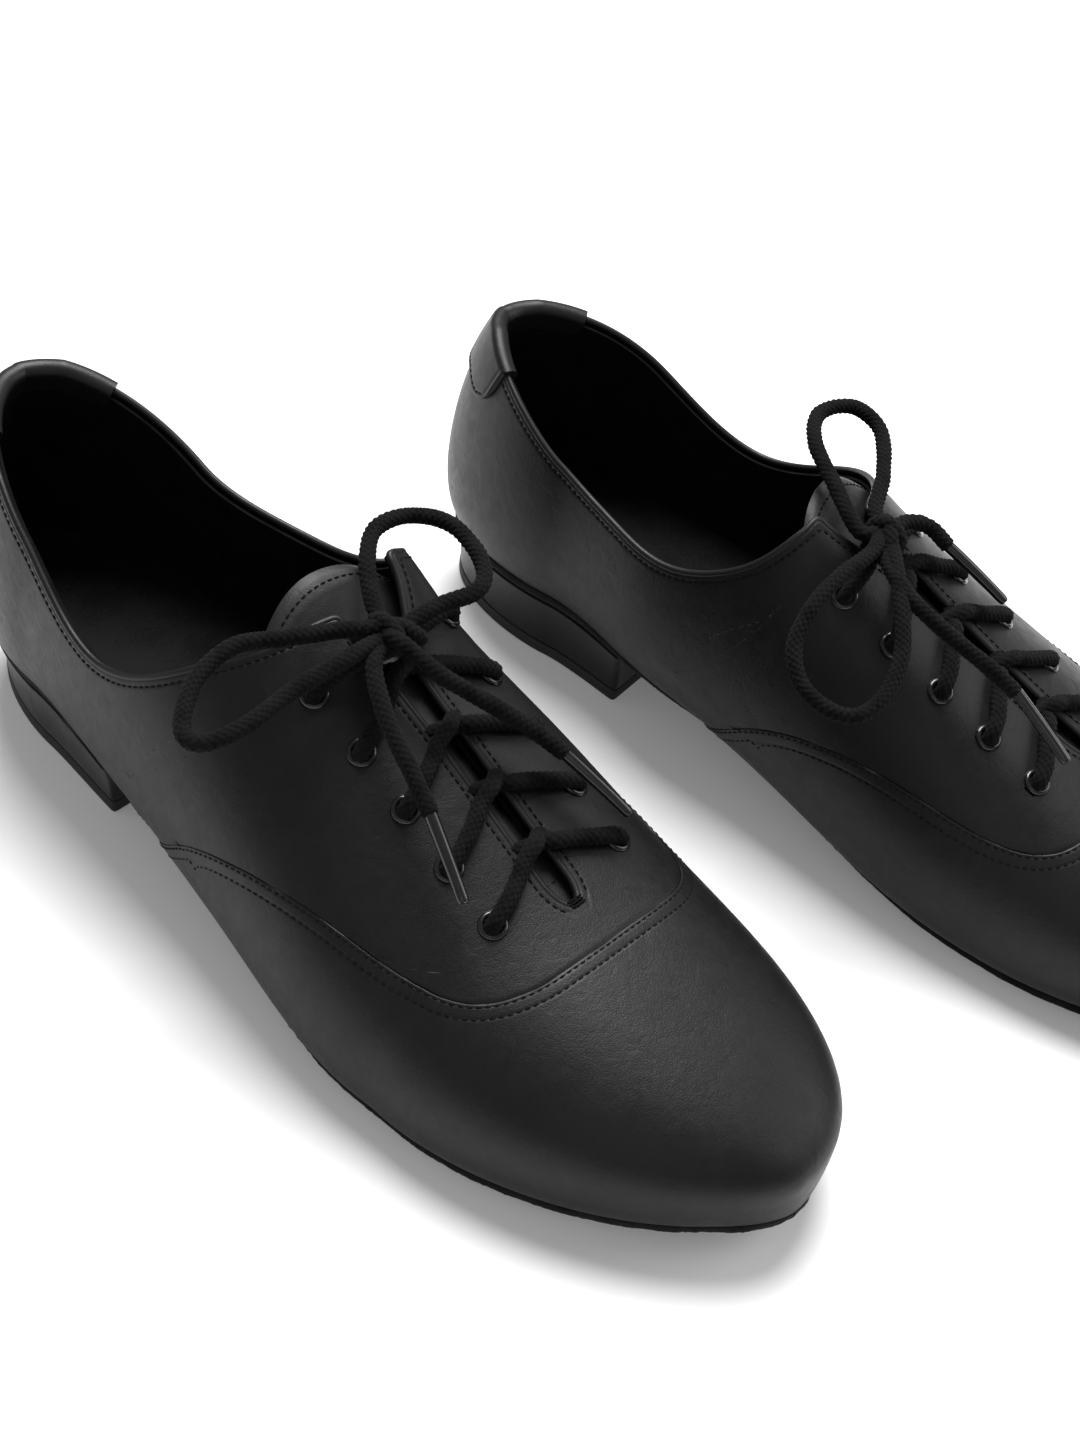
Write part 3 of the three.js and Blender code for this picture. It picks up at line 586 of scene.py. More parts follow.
LEATHER = leather_material(base=0.006, rough=0.42)
EDGE_LEATHER = leather_material("folded_leather", base=0.009, rough=0.4, grain=0.7)
# The tongue is the same black leather as the upper. Its base colour is about twice as light: painted light,
# standing in for the light and highlight the tongue shows down in the slit.
TONGUE_LEATHER_PAINTED_LIGHT = leather_material("tongue_leather_painted_light", base=0.013, rough=0.46)
LINING = cloth_material("black_lining", 0.0028, 1.6, 0.25, rough=0.95)
SOCK = cloth_material("insole_leather", 0.0035, 1.1, 0.2, rough=0.8)
SUEDE = cloth_material("black_suede", 0.005, 2.2, 0.9, rough=1.0, sheen=0.06)
CORD = cloth_material("braided_cord", 0.0034, 3.0, 0.55, rough=0.95, sheen=0.02)
THREAD = cloth_material("stitch_thread", 0.003, 6.0, 0.4, rough=0.75)
HEEL = leather_material("heel_cover", base=0.005, rough=0.36, grain=0.35)
RUBBER = hard_material("heel_rubber", (0.011, 0.011, 0.011), 0.72, scratch=0.12)
EYELET = hard_material("eyelet_lacquer", (0.02, 0.02, 0.022), 0.22, metallic=0.6, scratch=0.05, coat=0.3)
TIP = hard_material("aglet_plastic", (0.006, 0.0055, 0.0055), 0.24, scratch=0.06, coat=0.1)
STEEL = hard_material("shank_steel", (0.5, 0.5, 0.52), 0.32, metallic=1.0)
BOARD = cloth_material("fibre_board", 0.02, 0.9, 0.5)


# Upper.
LEATHER_THICK = 1.4
LINING_DEPTH = (2.5, 3.3)
OVERLAP = 6.0  # of the quarters under the vamp
SEAM_RISE = 0.36  # the vamp's edge stands this much above the quarters
STITCH_ROWS = (0.75, 3.5)  # distances of the two stitch rows from the vamp's edge
STITCH_PITCH = 2.1
EDGE_STITCH = 2.2  # of the facing and the collar, from their edge
BORDER_STEP = 1.1
THROATS = {LATERAL: THROAT, MEDIAL: 122.0}  # stations of the facings' top corners
SPREAD = {LATERAL: 0.0, MEDIAL: 9.0}  # how far the facing's edge leaves the slit at its top
SPREAD_END = 148.0
THROAT_FLARE = {LATERAL: (-1.5, 1.0, 1.0), MEDIAL: (-2.0, -4.0, 4.6)}
FLARE_REACH = 18.0
EDGE_ROWS = np.concatenate([np.arange(0, 5.2, 0.36), [5.8, 6.8]])


def border_pairs(side, inset):
    """The quarter's top edge as (q, angle): round the heel, along the collar and down the slit."""
    pairs = []
    for q in np.linspace(0, 1, 50)[:-1]:
        angle = 40.0
        for _ in range(12):
            angle = angle_at_height(q, collar_z[side](surface(q, side, angle)[0]) - inset)
        pairs.append((q, angle))
    for s in np.linspace(HEEL_ARC_END, THROATS[side] - inset, 90):
        limit = angle_at_offset(s, side, SLIT_HALF + SPREAD[side] + inset)
        angle = min(angle_at_height(q_of(s), collar_z[side](s) - inset), limit)
        pairs.append((q_of(s), angle))
    for s in np.linspace(THROATS[side] - inset, NOSE + OVERLAP, 120)[1:]:
        closing = np.clip((SLIT_END - s) / (2 * SLIT_HALF), 0, 1)
        wide = SLIT_HALF + SPREAD[side] * (1 - smoothstep(THROATS[side], SPREAD_END, s))
        half = wide * math.sqrt(1 - (1 - closing) ** 2)
        pairs.append((q_of(s), angle_at_offset(s, side, half + min(inset, half))))
    return np.array(pairs, float)


def rounded(pairs, side, radius):
    """Rounds the corner at the throat by averaging the path near it."""
    points = surface(pairs[:, 0], side, pairs[:, 1])
    length = arc_lengths(points)
    at = np.linspace(0, length[-1], int(length[-1] / (BORDER_STEP / 2)))
    fine = interpolate(at, length, pairs)
    points = surface(fine[:, 0], side, fine[:, 1])
    corner = int(np.argmax(points[:, 2] * (points[:, 0] > 90)))
    reach = int(radius / (BORDER_STEP / 2))
    out = fine.copy()
    for k in range(corner - 3 * reach, corner + 3 * reach):
        near = max(0, reach - max(0, abs(k - corner) - 2 * reach))
        out[k] = fine[k - near : k + near + 1].mean(0)
    return out[::2]


def quarter_grid(side, inset=0.0):
    """(q, angle) grids of a quarter. Rows run from the top edge to the feather, columns along the edge."""
    top = rounded(border_pairs(side, inset), side, 1.4)
    columns = len(top)
    u = np.linspace(0, 1, columns)
    turn = int(top[:, 0].searchsorted(1.0))
    ahead = np.clip((np.arange(columns) - turn) / (columns - 1 - turn), 0, 1)
    front_q = q_of(seam_s(0) + OVERLAP)
    low = np.stack([np.where(np.arange(columns) < turn, top[:, 0], 1 + ahead * (front_q - 1)),
                    np.full(columns, FEATHER)], -1)
    v = np.linspace(0, 1, 90)
    front = np.stack([q_of(seam_s(v) + OVERLAP), np.minimum(seam_angle(v), top[-1, 1])], -1)
    back = np.stack([0 * v, FEATHER + v * (top[0, 1] - FEATHER)], -1)
    v3, u3 = v[:, None, None], u[None, :, None]
    grid = (1 - v3) * low[None] + v3 * top[None] + (1 - u3) * back[:, None] + u3 * front[:, None]
    grid -= (1 - v3) * ((1 - u3) * low[0] + u3 * low[-1]) + v3 * ((1 - u3) * top[0] + u3 * top[-1])
    grid = grid[::-1]
    points = surface(grid[..., 0], side, grid[..., 1])
    rest_rows = 34
    out = np.zeros((len(EDGE_ROWS) + rest_rows, columns, 2))
    for j in range(columns):
        length = arc_lengths(points[:, j])
        edge = EDGE_ROWS * min(1, 0.5 * length[-1] / EDGE_ROWS[-1])
        rest = np.linspace(edge[-1], length[-1], rest_rows + 1)[1:]
        out[:, j] = interpolate(np.concatenate([edge, rest]), length, grid[:, j])
    return out[..., 0], out[..., 1]


def skin(q, side, angle):
    """Points and outward normals of the last."""
    d = 0.003
    ahead = np.minimum(q + d, 1.9995)
    along = surface(ahead, side, angle) - surface(ahead - 2 * d, side, angle)
    hi = np.minimum(angle + 0.5, CROWN)
    round_ = surface(q, side, hi) - surface(q, side, hi - 1.0)
    return surface(q, side, angle), -unit(np.cross(along, round_)) * np.asarray(side)[..., None]


def raised(points, normals, height):
    return points + normals * np.asarray(height)[..., None]


def flared(points, side):
    """The facings' top corners stand open, as no foot fills the shoe."""
    angle = angle_at_offset(THROATS[side], side, SLIT_HALF + SPREAD[side])
    corner = surface(q_of(THROATS[side]), side, angle)
    distance = np.linalg.norm(points - corner, axis=-1, keepdims=True)
    return points + np.exp(-((distance / FLARE_REACH) ** 2)) * np.array(THROAT_FLARE[side])


def distance_to(points, path):
    """Distance of each point to a polyline's points, dense enough to stand for the line."""
    flat = points.reshape(-1, 3)
    out = np.empty(len(flat))
    for start in range(0, len(flat), 4000):
        block = flat[start : start + 4000]
        out[start : start + 4000] = np.sqrt(((block[:, None] - path[None]) ** 2).sum(-1).min(1))
    return out.reshape(points.shape[:-1])


def groove(distance, at, depth=0.28, width=0.45):
    return -depth * np.exp(-(((distance - at) / width) ** 2))


def eyelet_frames(side):
    out = []
    for s in EYELET_STATIONS:
        angle = angle_at_offset(s, side, EYELET_OFFSET[side])
        out.append(skin(np.array([q_of(s)]), side, np.array([angle])))
    return [(flared(p[0], side), n[0]) for p, n in out]


def stitches(parts, path, normals, lift=0.05, length=1.5, radius=0.27):
    """Short thread beads along a path, each dipping into its holes."""
    total = arc_lengths(path)[-1]
    for middle in np.arange(STITCH_PITCH, total - STITCH_PITCH, STITCH_PITCH):
        at = middle + np.linspace(-0.5, 0.5, 6) * length
        points = resample(path, at)
        up = unit(interpolate(at, arc_lengths(path), normals))
        dip = lift - 0.45 * np.abs(np.linspace(-1, 1, 6)) ** 3
        parts.tube(points + up * dip[:, None], radius, 6, up[0])


EYELET_HOLE = 2.6


def quarter(shoe, side):
    q, angle = quarter_grid(side)
    points, normals = skin(q, side, angle)
    border = even(points[0], 0.5)
    border = border[border[:, 0] < SLIT_END + 0.2]
    edge = distance_to(points, border)
    ahead = q_of(seam_s(np.interp(angle, seam_angle(np.linspace(0, 1, 300)), np.linspace(0, 1, 300))))
    beyond = (q - ahead) * (LENGTH - HEEL_ARC_END)
    height = groove(edge, EDGE_STITCH, 0.16, 0.35) - 0.35 * (1 - smoothstep(0, 1.0, edge))
    height -= 1.5 * smoothstep(-0.5, 2.5, beyond)
    outer = flared(raised(points, normals, height), side)
    inner = flared(raised(points, normals, height * 0.3 - LEATHER_THICK), side)
    obj = slab_object(shoe, f"quarter_{SIDE_NAME[side]}", outer, inner, LEATHER)
    cut_round(obj, [shoe.place(p) for p, _ in eyelet_frames(side)], EYELET_HOLE / 1000)
    return obj, flared(points, side), normals, edge


SIDE_NAME = {LATERAL: "lateral", MEDIAL: "medial"}


def cut_round(obj, centres, radius):
    """Takes out the faces round each eyelet; the eyelet's flange covers the rim."""
    bm = bmesh.new()
    bm.from_mesh(obj.data)
    gone = []
    for face in bm.faces:
        middle = np.array(face.calc_center_median())
        if any(np.linalg.norm(middle - c) < radius for c in centres):
            gone.append(face)
    bmesh.ops.delete(bm, geom=gone, context="FACES")
    bm.to_mesh(obj.data)
    bm.free()


def offset_rows(points, normals, edge, distance):
    """The line at a distance from the top edge, over a quarter's grid."""
    path, up = [], []
    for j in range(points.shape[1]):
        order = np.maximum.accumulate(edge[:, j])
        if order[-1] < distance:
            continue
        path.append(interpolate(distance, order, points[:, j]))
        up.append(interpolate(distance, order, normals[:, j]))
    return np.array(path), np.array(up)


def lining(shoe, side):
    q, angle = quarter_grid(side, inset=0.8)
    points, normals = skin(q, side, angle)
    low = smoothstep(-40, -75, angle)
    outer = flared(raised(points, normals, -LINING_DEPTH[0] - low), side)
    inner = flared(raised(points, normals, -LINING_DEPTH[1] - low), side)
    return slab_object(shoe, f"lining_{SIDE_NAME[side]}", outer, inner, LINING)


def edge_bead(side, radius=1.0):
    """The folded edge along the collar and down the facing."""
    q, angle = quarter_grid(side)
    points, normals = skin(q[0], side, angle[0])
    keep = points[:, 0] < SLIT_END + 0.2
    path = flared(points[keep] - normals[keep] * (radius - 0.1), side)
    parts = Parts()
    parts.tube(even(path, 0.8), radius, 12, normals[0])
    return parts


# Vamp: columns follow the outline round the toe, rows run from the seam down to the outline.
VAMP_DENSE = np.concatenate([[0, 0.12, 0.3, 0.5], np.arange(0.75, 6.2, 0.32)])
VAMP_REST = 30
UNDER_ROWS = 12


def seam_plan(t):
    """Plan points of the seam from the lateral bottom (0) over the nose to the medial bottom (1)."""
    v = np.linspace(SEAM_V[1], 1, 200)
    path = whole_ring(lambda side: surface(q_of(seam_s(v)), side, np.maximum(seam_angle(v), 0)))
    path[:, 0] = smooth_nose(path[:, 0])
    return resample(path, t * arc_lengths(path)[-1])[:, :2]


def smooth_nose(values, reach=9):
    """Rounds the seam where the two sides meet on the ridge."""
    out = values.copy()
    middle = len(values) // 2
    for k in range(middle - 3 * reach, middle + 3 * reach + 1):
        near = max(1, reach - max(0, abs(k - middle) - 2 * reach))
        out[k] = values[k - near : k + near + 1].mean()
    return out


def outline_plan(t):
    """Plan points of the foot's outline, over the same shares as the seam's."""
    s_start = float(seam_s(SEAM_V[1]))
    s = s_start + (LENGTH - s_start) * np.sin(np.linspace(0, 1, 400) * math.pi / 2)
    path = whole_ring(lambda side: np.stack([s, ridge_x(s) + side * width_at(s, side)], -1))
    return resample(path, t * arc_lengths(path)[-1])


def vamp_columns():
    """Shares along the outline, closer together at the two ends."""
    ends = np.linspace(0, 0.05, 22)
    middle = np.linspace(0.05, 0.95, 300)
    return np.concatenate([ends[:-1], middle, 1 - ends[::-1][1:]])


def side_weight(finish):
    """1 for columns that end on the sides of the foot, 0 for those that end round the toe."""
    return (1 - smoothstep(150, 215, finish[:, 0]))[None, :, None]


def vamp_sides(t, finish, share):
    """The vamp's columns drawn in (q, angle), which holds where the sides stand upright."""
    v = np.linspace(SEAM_V[1], 1, 300)
    q, angle = q_of(seam_s(v)), np.maximum(seam_angle(v), 0)
    lateral, medial = (arc_lengths(surface(q, side, angle)) for side in (LATERAL, MEDIAL))
    whole = np.concatenate([lateral, lateral[-1] + medial[-1] - medial[::-1][1:]])
    table = whole_ring(lambda side: np.stack([q, angle], -1))
    q, angle = interpolate(t * whole[-1], whole, table).T
    side = side_of(finish[:, 0], finish[:, 1])
    q_grid = q + share[:, None] * (q_of(finish[:, 0]) - q)
    return surface(q_grid, side, angle * (1 - share[:, None]))


def vamp_grid():
    """Rows x columns of last points with their outward normals."""
    t = vamp_columns()
    start, finish = seam_plan(t), outline_plan(t)
    share = 1 - (1 - np.linspace(0, 1, 160)) ** 2
    s, x = np.moveaxis(start + share[:, None, None] * (finish - start), -1, 0)
    inside = 1e-4
    x = np.clip(x, ridge_x(s) - width_at(s, MEDIAL) + inside, ridge_x(s) + width_at(s, LATERAL) - inside)
    points = over_plan(s, x)
    points = points + side_weight(finish) * (vamp_sides(t, finish, share) - points)
    rows = len(VAMP_DENSE) + VAMP_REST
    top = np.zeros((rows, len(t), 3))
    for j in range(len(t)):
        length = arc_lengths(points[:, j])
        dense = VAMP_DENSE * min(1, 0.5 * length[-1] / VAMP_DENSE[-1])
        at = np.concatenate([dense, np.linspace(dense[-1], length[-1], VAMP_REST + 1)[1:]])
        top[:, j] = resample(points[:, j], at)
    edge_s = finish[:, 0]
    side = side_of(edge_s, finish[:, 1])
    angles = np.linspace(0, FEATHER, UNDER_ROWS + 1)[1:]
    v = np.linspace(0, SEAM_V[1], 60)
    v_at = np.interp(angles, seam_angle(v), v)
    waist = float(seam_s(SEAM_V[1]))
    back = waist - seam_s(v_at)
    fade = 1 - smoothstep(0, 45, edge_s - waist)
    under = np.zeros((UNDER_ROWS, len(t), 3))
    for i, angle in enumerate(angles):
        q = q_of(edge_s - back[i] * fade)
        under[i] = surface(np.minimum(q, 2), side, np.full(len(t), angle))
    points = np.vstack([top, under])
    normals = grid_normals(points)
    centre = np.array([200.0, -5.0, 20.0])
    if ((points - centre) * normals).sum() < 0:
        normals = -normals
    return points, normals


def full_seam(spacing=0.4):
    """The whole vamp seam from the lateral feather over the nose to the medial feather."""
    v = np.linspace(0, 1, 400)
    path = whole_ring(lambda side: surface(q_of(seam_s(v)), side, seam_angle(v)))
    path[:, 0] = smooth_nose(path[:, 0], 14)
    return even(path, spacing)


def vamp_height(distance):
    swell = SEAM_RISE * (1 - 0.7 * smoothstep(4, 30, distance))
    edge = -0.4 * (1 - np.sqrt(np.clip(distance / 0.45, 0, 1)))
    rows = sum(groove(distance, at, 0.1, 0.32) for at in STITCH_ROWS)
    return swell + edge + rows


def vamp(shoe):
    points, normals = vamp_grid()
    seam = full_seam()
    distance = distance_to(points, seam)
    height = vamp_height(distance)
    outer = raised(points, normals, height)
    inner = raised(points, normals, height * 0.5 - LEATHER_THICK)
    inner[0] = raised(points[0], normals[0], np.full(points.shape[1], -0.5))
    obj = slab_object(shoe, "vamp", outer, inner, LEATHER)
    return obj, seam


def on_surface(points):
    """Moves points to the last's surface, with its outward normals."""
    s, x, z = points.T
    side = side_of(s, x)
    low = z < waist_z(s)
    angle_low = np.degrees(np.arcsin(np.clip((z - waist_z(s)) / waist_rise(s), -0.99, 0)))
    angle = np.where(low, angle_low, angle_at_offset(s, side, x - ridge_x(s)))
    return skin(q_of(s), side, np.minimum(angle, CROWN - 0.2))


def seam_offset(seam, distance):
    """A line on the last, ahead of the seam by a distance."""
    base, normals = on_surface(seam[2:-2])
    along = unit(np.gradient(base, axis=0))
    ahead = unit(np.cross(along, normals))
    ahead *= np.sign(ahead[:, :1].mean()) or 1
    moved = base + ahead * distance
    clear = np.abs(moved[:, 1] - ridge_x(moved[:, 0])) > 1.2
    return on_surface(even(moved[clear], 0.4))


# Tongue.
TONGUE_DEPTH = (5.6, 7.6)
TONGUE_START, TONGUE_END, TONGUE_HALF, TONGUE_STITCH = 115.5, 212.0, 29.0, 3.0


def tongue(shoe):
    rows, columns = 90, 60
    t = np.linspace(0, 1, rows)[:, None]
    u = np.linspace(1, -1, columns)[None]
    arch = 7.0 * np.abs(u) ** 2.2
    s = TONGUE_START + arch * (1 - t) ** 2 + (TONGUE_END - TONGUE_START) * t
    offset = u * TONGUE_HALF * (0.9 + 0.1 * np.minimum(1, 6 * t)) + 1.5
    side = np.where(offset >= 0, LATERAL, MEDIAL)
    angle = np.minimum(angle_at_offset(s, side, offset), CROWN - 0.3)
    points, normals = skin(q_of(s), side, angle)
    soft = 9
    kernel = np.ones(soft) / soft
    for k in range(3):
        padded = np.pad(normals[..., k], ((0, 0), (soft // 2, soft // 2)), mode="edge")
        normals[..., k] = np.apply_along_axis(lambda r: np.convolve(r, kernel, "valid"), 1, padded)
    normals = unit(normals)
    from_top = s - TONGUE_START - arch
    from_side = (1 - np.abs(u)) * TONGUE_HALF
    from_edge = np.minimum(from_top, from_side)
    roll = 0.9 * (1 - np.sqrt(np.clip(from_edge / 2.0, 0, 1)))
    pad = 0.8 * smoothstep(0.5, 4, from_edge) * (1 - smoothstep(12, 24, from_top))
    lift = 2.2 * (1 - smoothstep(0, 26, from_top))
    bulge = 2.0 * (1 - smoothstep(3.0, 7.5, np.abs(offset))) * smoothstep(12, 26, from_top)
    height = lift + pad + bulge - roll + groove(from_edge, TONGUE_STITCH, 0.35, 0.5)
    outer = raised(points, normals, height - TONGUE_DEPTH[0])
    inner = raised(points, normals, lift + bulge + roll - TONGUE_DEPTH[1])
    obj = slab_object(shoe, "tongue", outer, inner, TONGUE_LEATHER_PAINTED_LIGHT, LINING)
    row = int(np.argmin(np.abs(from_top[:, columns // 2] - TONGUE_STITCH)))
    lines = Parts()
    stitches(lines, outer[row, 3:-3], normals[row, 3:-3], lift=0.12)
    thread = lines.object(shoe, "tongue_stitches", THREAD)
    return obj, thread


# Heel tab: a patch folded over the top of the back seam.
TAB_Q, TAB_HEIGHT, TAB_THICK = 0.42, 16.0, 1.5
TAB_WIDTH, TAB_CORNER, TAB_STITCH = 30.0, 10.5, 2.0  # half the width, its lower corners, the row's distance
TAB_DEPTH = LINING_DEPTH[1] + 0.6  # of the flap inside, below the last's surface
TAB_COLUMNS, TAB_ROWS = 80, 34


def tab_column(q, down):
    """Points of the last under one column of the tab, from the collar down."""
    side, q = (LATERAL if q >= 0 else MEDIAL), abs(q)
    angle = 40.0
    for _ in range(12):
        angle = angle_at_height(q, collar_z[side](surface(q, side, angle)[0]) + 0.4)
    angles = np.linspace(angle, angle - 26, 120)
    lengths = arc_lengths(surface(np.full(120, q), side, angles))
    return surface(q * (1 - 0.12 * down / TAB_HEIGHT), side, np.interp(down, lengths, angles))


def heel_tab(shoe):
    q = TAB_Q * np.sin(np.linspace(-math.pi / 2, math.pi / 2, TAB_COLUMNS))
    down = np.linspace(0, 1, TAB_ROWS)[:, None]
    across = (1 - np.abs(q[None]) / TAB_Q) * TAB_WIDTH
    missing = np.maximum(0, TAB_CORNER - across)
    height = TAB_HEIGHT - TAB_CORNER + np.sqrt(np.maximum(0, TAB_CORNER**2 - missing**2))
    table = np.stack([tab_column(float(a), down[:, 0] * b) for a, b in zip(q, height[0])], 1)
    normals = grid_normals(table)
    middle = np.array([HEEL_ARC_END, 5.0, 70.0])
    if ((table - middle) * normals * np.array([1, 1, 0])).sum() < 0:
        normals = -normals
    low = np.minimum((1 - down) * height, across)
    rim = TAB_THICK * np.sqrt(np.clip(low / 0.8, 0.0, 1)) + groove(low, TAB_STITCH, 0.25, 0.4)
    radius = (TAB_THICK + TAB_DEPTH) / 2
    centre = table[0] + normals[0] * (TAB_THICK - radius)
    up = unit(table[0] - table[1])
    fold = np.array([centre + normals[0] * radius * math.cos(turn) + up * radius * math.sin(turn) * 0.8
                     for turn in np.linspace(0, math.pi, 9)[:0:-1]])
    flap = table[13:0:-2] - normals[13:0:-2] * TAB_DEPTH
    outer = raised(table, normals, rim)
    inside = np.broadcast_to(table[0] - normals[0] * 1.2, fold.shape)
    obj = slab_object(shoe, "heel_tab", np.vstack([flap, fold, outer]),
                      np.vstack([flap + normals[13:0:-2] * 0.8, inside, table - normals * 0.3]), EDGE_LEATHER)
    columns = np.flatnonzero(across[0] > TAB_STITCH)
    rows = np.abs(low[:, columns] - TAB_STITCH).argmin(0)
    lines = Parts()
    stitches(lines, outer[rows, columns], normals[rows, columns], lift=0.1)
    return obj, lines.object(shoe, "heel_tab_stitches", THREAD)


# Eyelets.
def lathe(parts, profile, origin, axis, around=28):
    """A closed ring turned from (radius, height) points round an axis."""
    axis = unit(axis)
    a = unit(np.cross(axis, [0.31, 0.9, 0.2]))
    b = np.cross(axis, a)
    turn = np.linspace(0, 2 * math.pi, around, endpoint=False)
    rings = [
        origin + axis * h + r * (np.cos(turn)[:, None] * a + np.sin(turn)[:, None] * b)
        for r, h in profile
    ]
    rings.append(rings[0])
    parts.add(np.array(rings), grid_faces(len(rings), around, 0, wrap=True))


EYELET_PROFILE = [(2.15, -2.6), (2.15, 0.2), (2.3, 0.6), (2.65, 0.86), (3.1, 0.82), (3.5, 0.55),
                  (3.72, 0.2), (3.75, -0.2), (3.0, -0.3), (2.6, -0.6), (2.5, -2.6)]


def eyelets(shoe, side):
    parts = Parts()
    for point, normal in eyelet_frames(side):
        lathe(parts, EYELET_PROFILE, point, normal)
    return parts.object(shoe, f"eyelets_{SIDE_NAME[side]}", EYELET)


# Laces.
LACE_LIFT = 2.2  # of the cord's centre above the leather it lies on
KNOT = {"right": (140.0, -3.0, 88.5), "left": (137.0, -12.0, 89.3)}
LOOPS = {
    "right": {
        "medial": [(131, -6, 91), (121, -13, 94), (114, -22, 95), (115, -32, 95), (123, -38, 95),
                   (134, -37, 94), (142, -32.5, 93), (144.5, -26.5, 92.3), (142, -17, 91.3)],
        "lateral": [(135, 6, 91), (129, 20, 91.5), (124, 30, 91), (125, 41, 89), (130, 49, 87), (136, 54, 86),
                    (141, 52, 86), (143, 42, 87), (142, 27, 89), (142, 12, 90)],
    },
    "left": {
        "lateral": [(131, -16, 91), (119, -8, 95), (107, 2, 98), (102, 14, 99), (107, 25, 98), (117, 23, 96),
                    (126, 8, 93.5), (131, -6, 91.5)],
        "medial": [(138, -22, 91), (136, -37, 90.5), (135, -48, 87), (136, -57, 81), (142, -63, 76),
                   (151, -64, 73), (158, -61, 73), (161, -53, 76), (159, -42, 81), (152, -31, 87),
                   (144, -20, 90)],
    },
}
ENDS = {
    "right": {
        "medial": [(143, -1, 91), (149, -2, 90.2), (157, -5, 86.2), (167, -12, 80.5), (176, -18, 75.5),
                   (184, -22.5, 70.5)],
        "lateral": [(144.5, 5, 88.3), (151, 10, 86.6), (160, 13.5, 82.2), (170, 15.5, 77), (180, 18, 72)],
    },
    "left": {
        "medial": [(142, -20, 89), (150, -27, 88.5), (158, -29, 86), (168, -28.5, 82), (178, -27.5, 78),
                   (187, -27, 74)],
        "lateral": [(138, -10, 90.5), (139, -3, 90.5), (144, 1.5, 89), (151, 2.5, 85)],
    },
}
AGLET_AIMS = {
    "right": {"medial": (203, -29, 60), "lateral": (200, 24, 61)},
    "left": {"medial": (206, -32, 65), "lateral": (169, 5, 76)},
}
AGLET_LENGTH, AGLET_RADIUS, AGLET_SAG = 22.0, 1.62, 0.9
AGLET_AROUND, AGLET_STEPS = 28, 60


def above(s, side, offset, height):
    """A point over the upper: offset from the ridge towards a side, raised along the normal."""
    angle = np.minimum(angle_at_offset(s, side, abs(offset)), CROWN - 0.5)
    p, n = skin(np.array([q_of(s)]), side, np.array([angle]))
    return flared(p[0] + n[0] * height, side)


def strand(first, knot):
    """One half of the lace: up through an eyelet, over its facing, under the other one, and so on."""
    stations = EYELET_STATIONS[::-1]
    points = [above(stations[0], -first, 6, -5.5)]
    for k, s in enumerate(stations):
        side = first if k % 2 == 0 else -first
        hole = EYELET_OFFSET[side]
        through = [(0, -5, -4.8), (0.4, 0.3, -1.6), (0.1, 0, 1.5)]
        points += [above(s + ahead, side, hole + across, height) for ahead, across, height in through]
        if k == len(stations) - 1:
            points.append(above(s + 0.6, side, hole - 4.5, LACE_LIFT + 0.8))
            break
        step = stations[k + 1] - s
        over = 1.4 if (k + (first == LATERAL)) % 2 else -0.9
        # The way to the next eyelet: (share of it, side of the foot, offset from the ridge, height).
        crossing = [
            (0.09, side, hole - 5, LACE_LIFT + 0.35), (0.26, side, hole - 11, LACE_LIFT),
            (0.4, side, 5.4, LACE_LIFT + 0.1), (0.5, side, 1.2, LACE_LIFT - 0.6 + over),
            (0.6, -side, 3.0, -0.6 + 0.6 * over), (0.7, -side, 7.0, -3.9), (0.84, -side, 12, -5.2),
        ]
        points += [above(s + share * step, on, offset, height) for share, on, offset, height in crossing]
    side = first if len(stations) % 2 else -first
    return points + [np.array(knot) + at for at in ([0.5, side * 7.5, -3.2], [1.5 * side, side * 2.5, -1.4],
                                                    [-1.0, -side * 2.5, -0.6])]


def knot_cords(parts, knot):
    """The wrap round the middle of the bow, and the tuck below it."""
    k = np.array(knot)
    turn = np.linspace(-0.35 * math.pi, 1.85 * math.pi, 16)
    wrap = k + np.stack([4.1 * np.cos(turn), 1.6 * np.sin(turn * 0.5 + 0.4) - 0.6, 4.0 * np.sin(turn)], -1)
    cord_along(parts, wrap)
    cord_along(parts, k + np.array([[1, 7, -2.6], [3.4, 3, -1.2], [3.0, -3, -0.8], [0, -7, -2.8]]))
    cord_along(parts, k + np.array([[-3, 6, -2.6], [-3.2, 1, -1.8], [-2.0, -5, -2.4]]))
    cord_along(parts, k + np.array([[-5, 5.5, -3], [-2.2, 4.2, 2.0], [1.6, -1.0, 3.2], [4.4, -5.5, -0.5],
                                    [3.5, -7, -3]]))


def lace(shoe):
    parts = Parts()
    knot = KNOT[shoe.name]
    for first in (LATERAL, MEDIAL):
        cord_along(parts, strand(first, knot))
    knot_cords(parts, knot)
    return parts.object(shoe, "lace", CORD)


def bow_loop(shoe, which):
    parts = Parts()
    k = np.array(KNOT[shoe.name])
    cord_along(parts, [k + [-1.0, 0, 1.2], *LOOPS[shoe.name][which], k + [1.2, 0, 0.8]])
    return parts.object(shoe, f"bow_loop_{which}", CORD)


def lace_end(shoe, which):
    parts = Parts()
    k = np.array(KNOT[shoe.name])
    path = cord_along(parts, [k + [1.5, 0, -0.5], *ENDS[shoe.name][which]])
    aim = np.array(AGLET_AIMS[shoe.name][which], float)
    way = unit(aim - path[-1])
    blend = unit(way + unit(path[-1] - path[-6]))
    return parts.object(shoe, f"lace_end_{which}", CORD), path[-1], unit(way + 0.3 * blend)


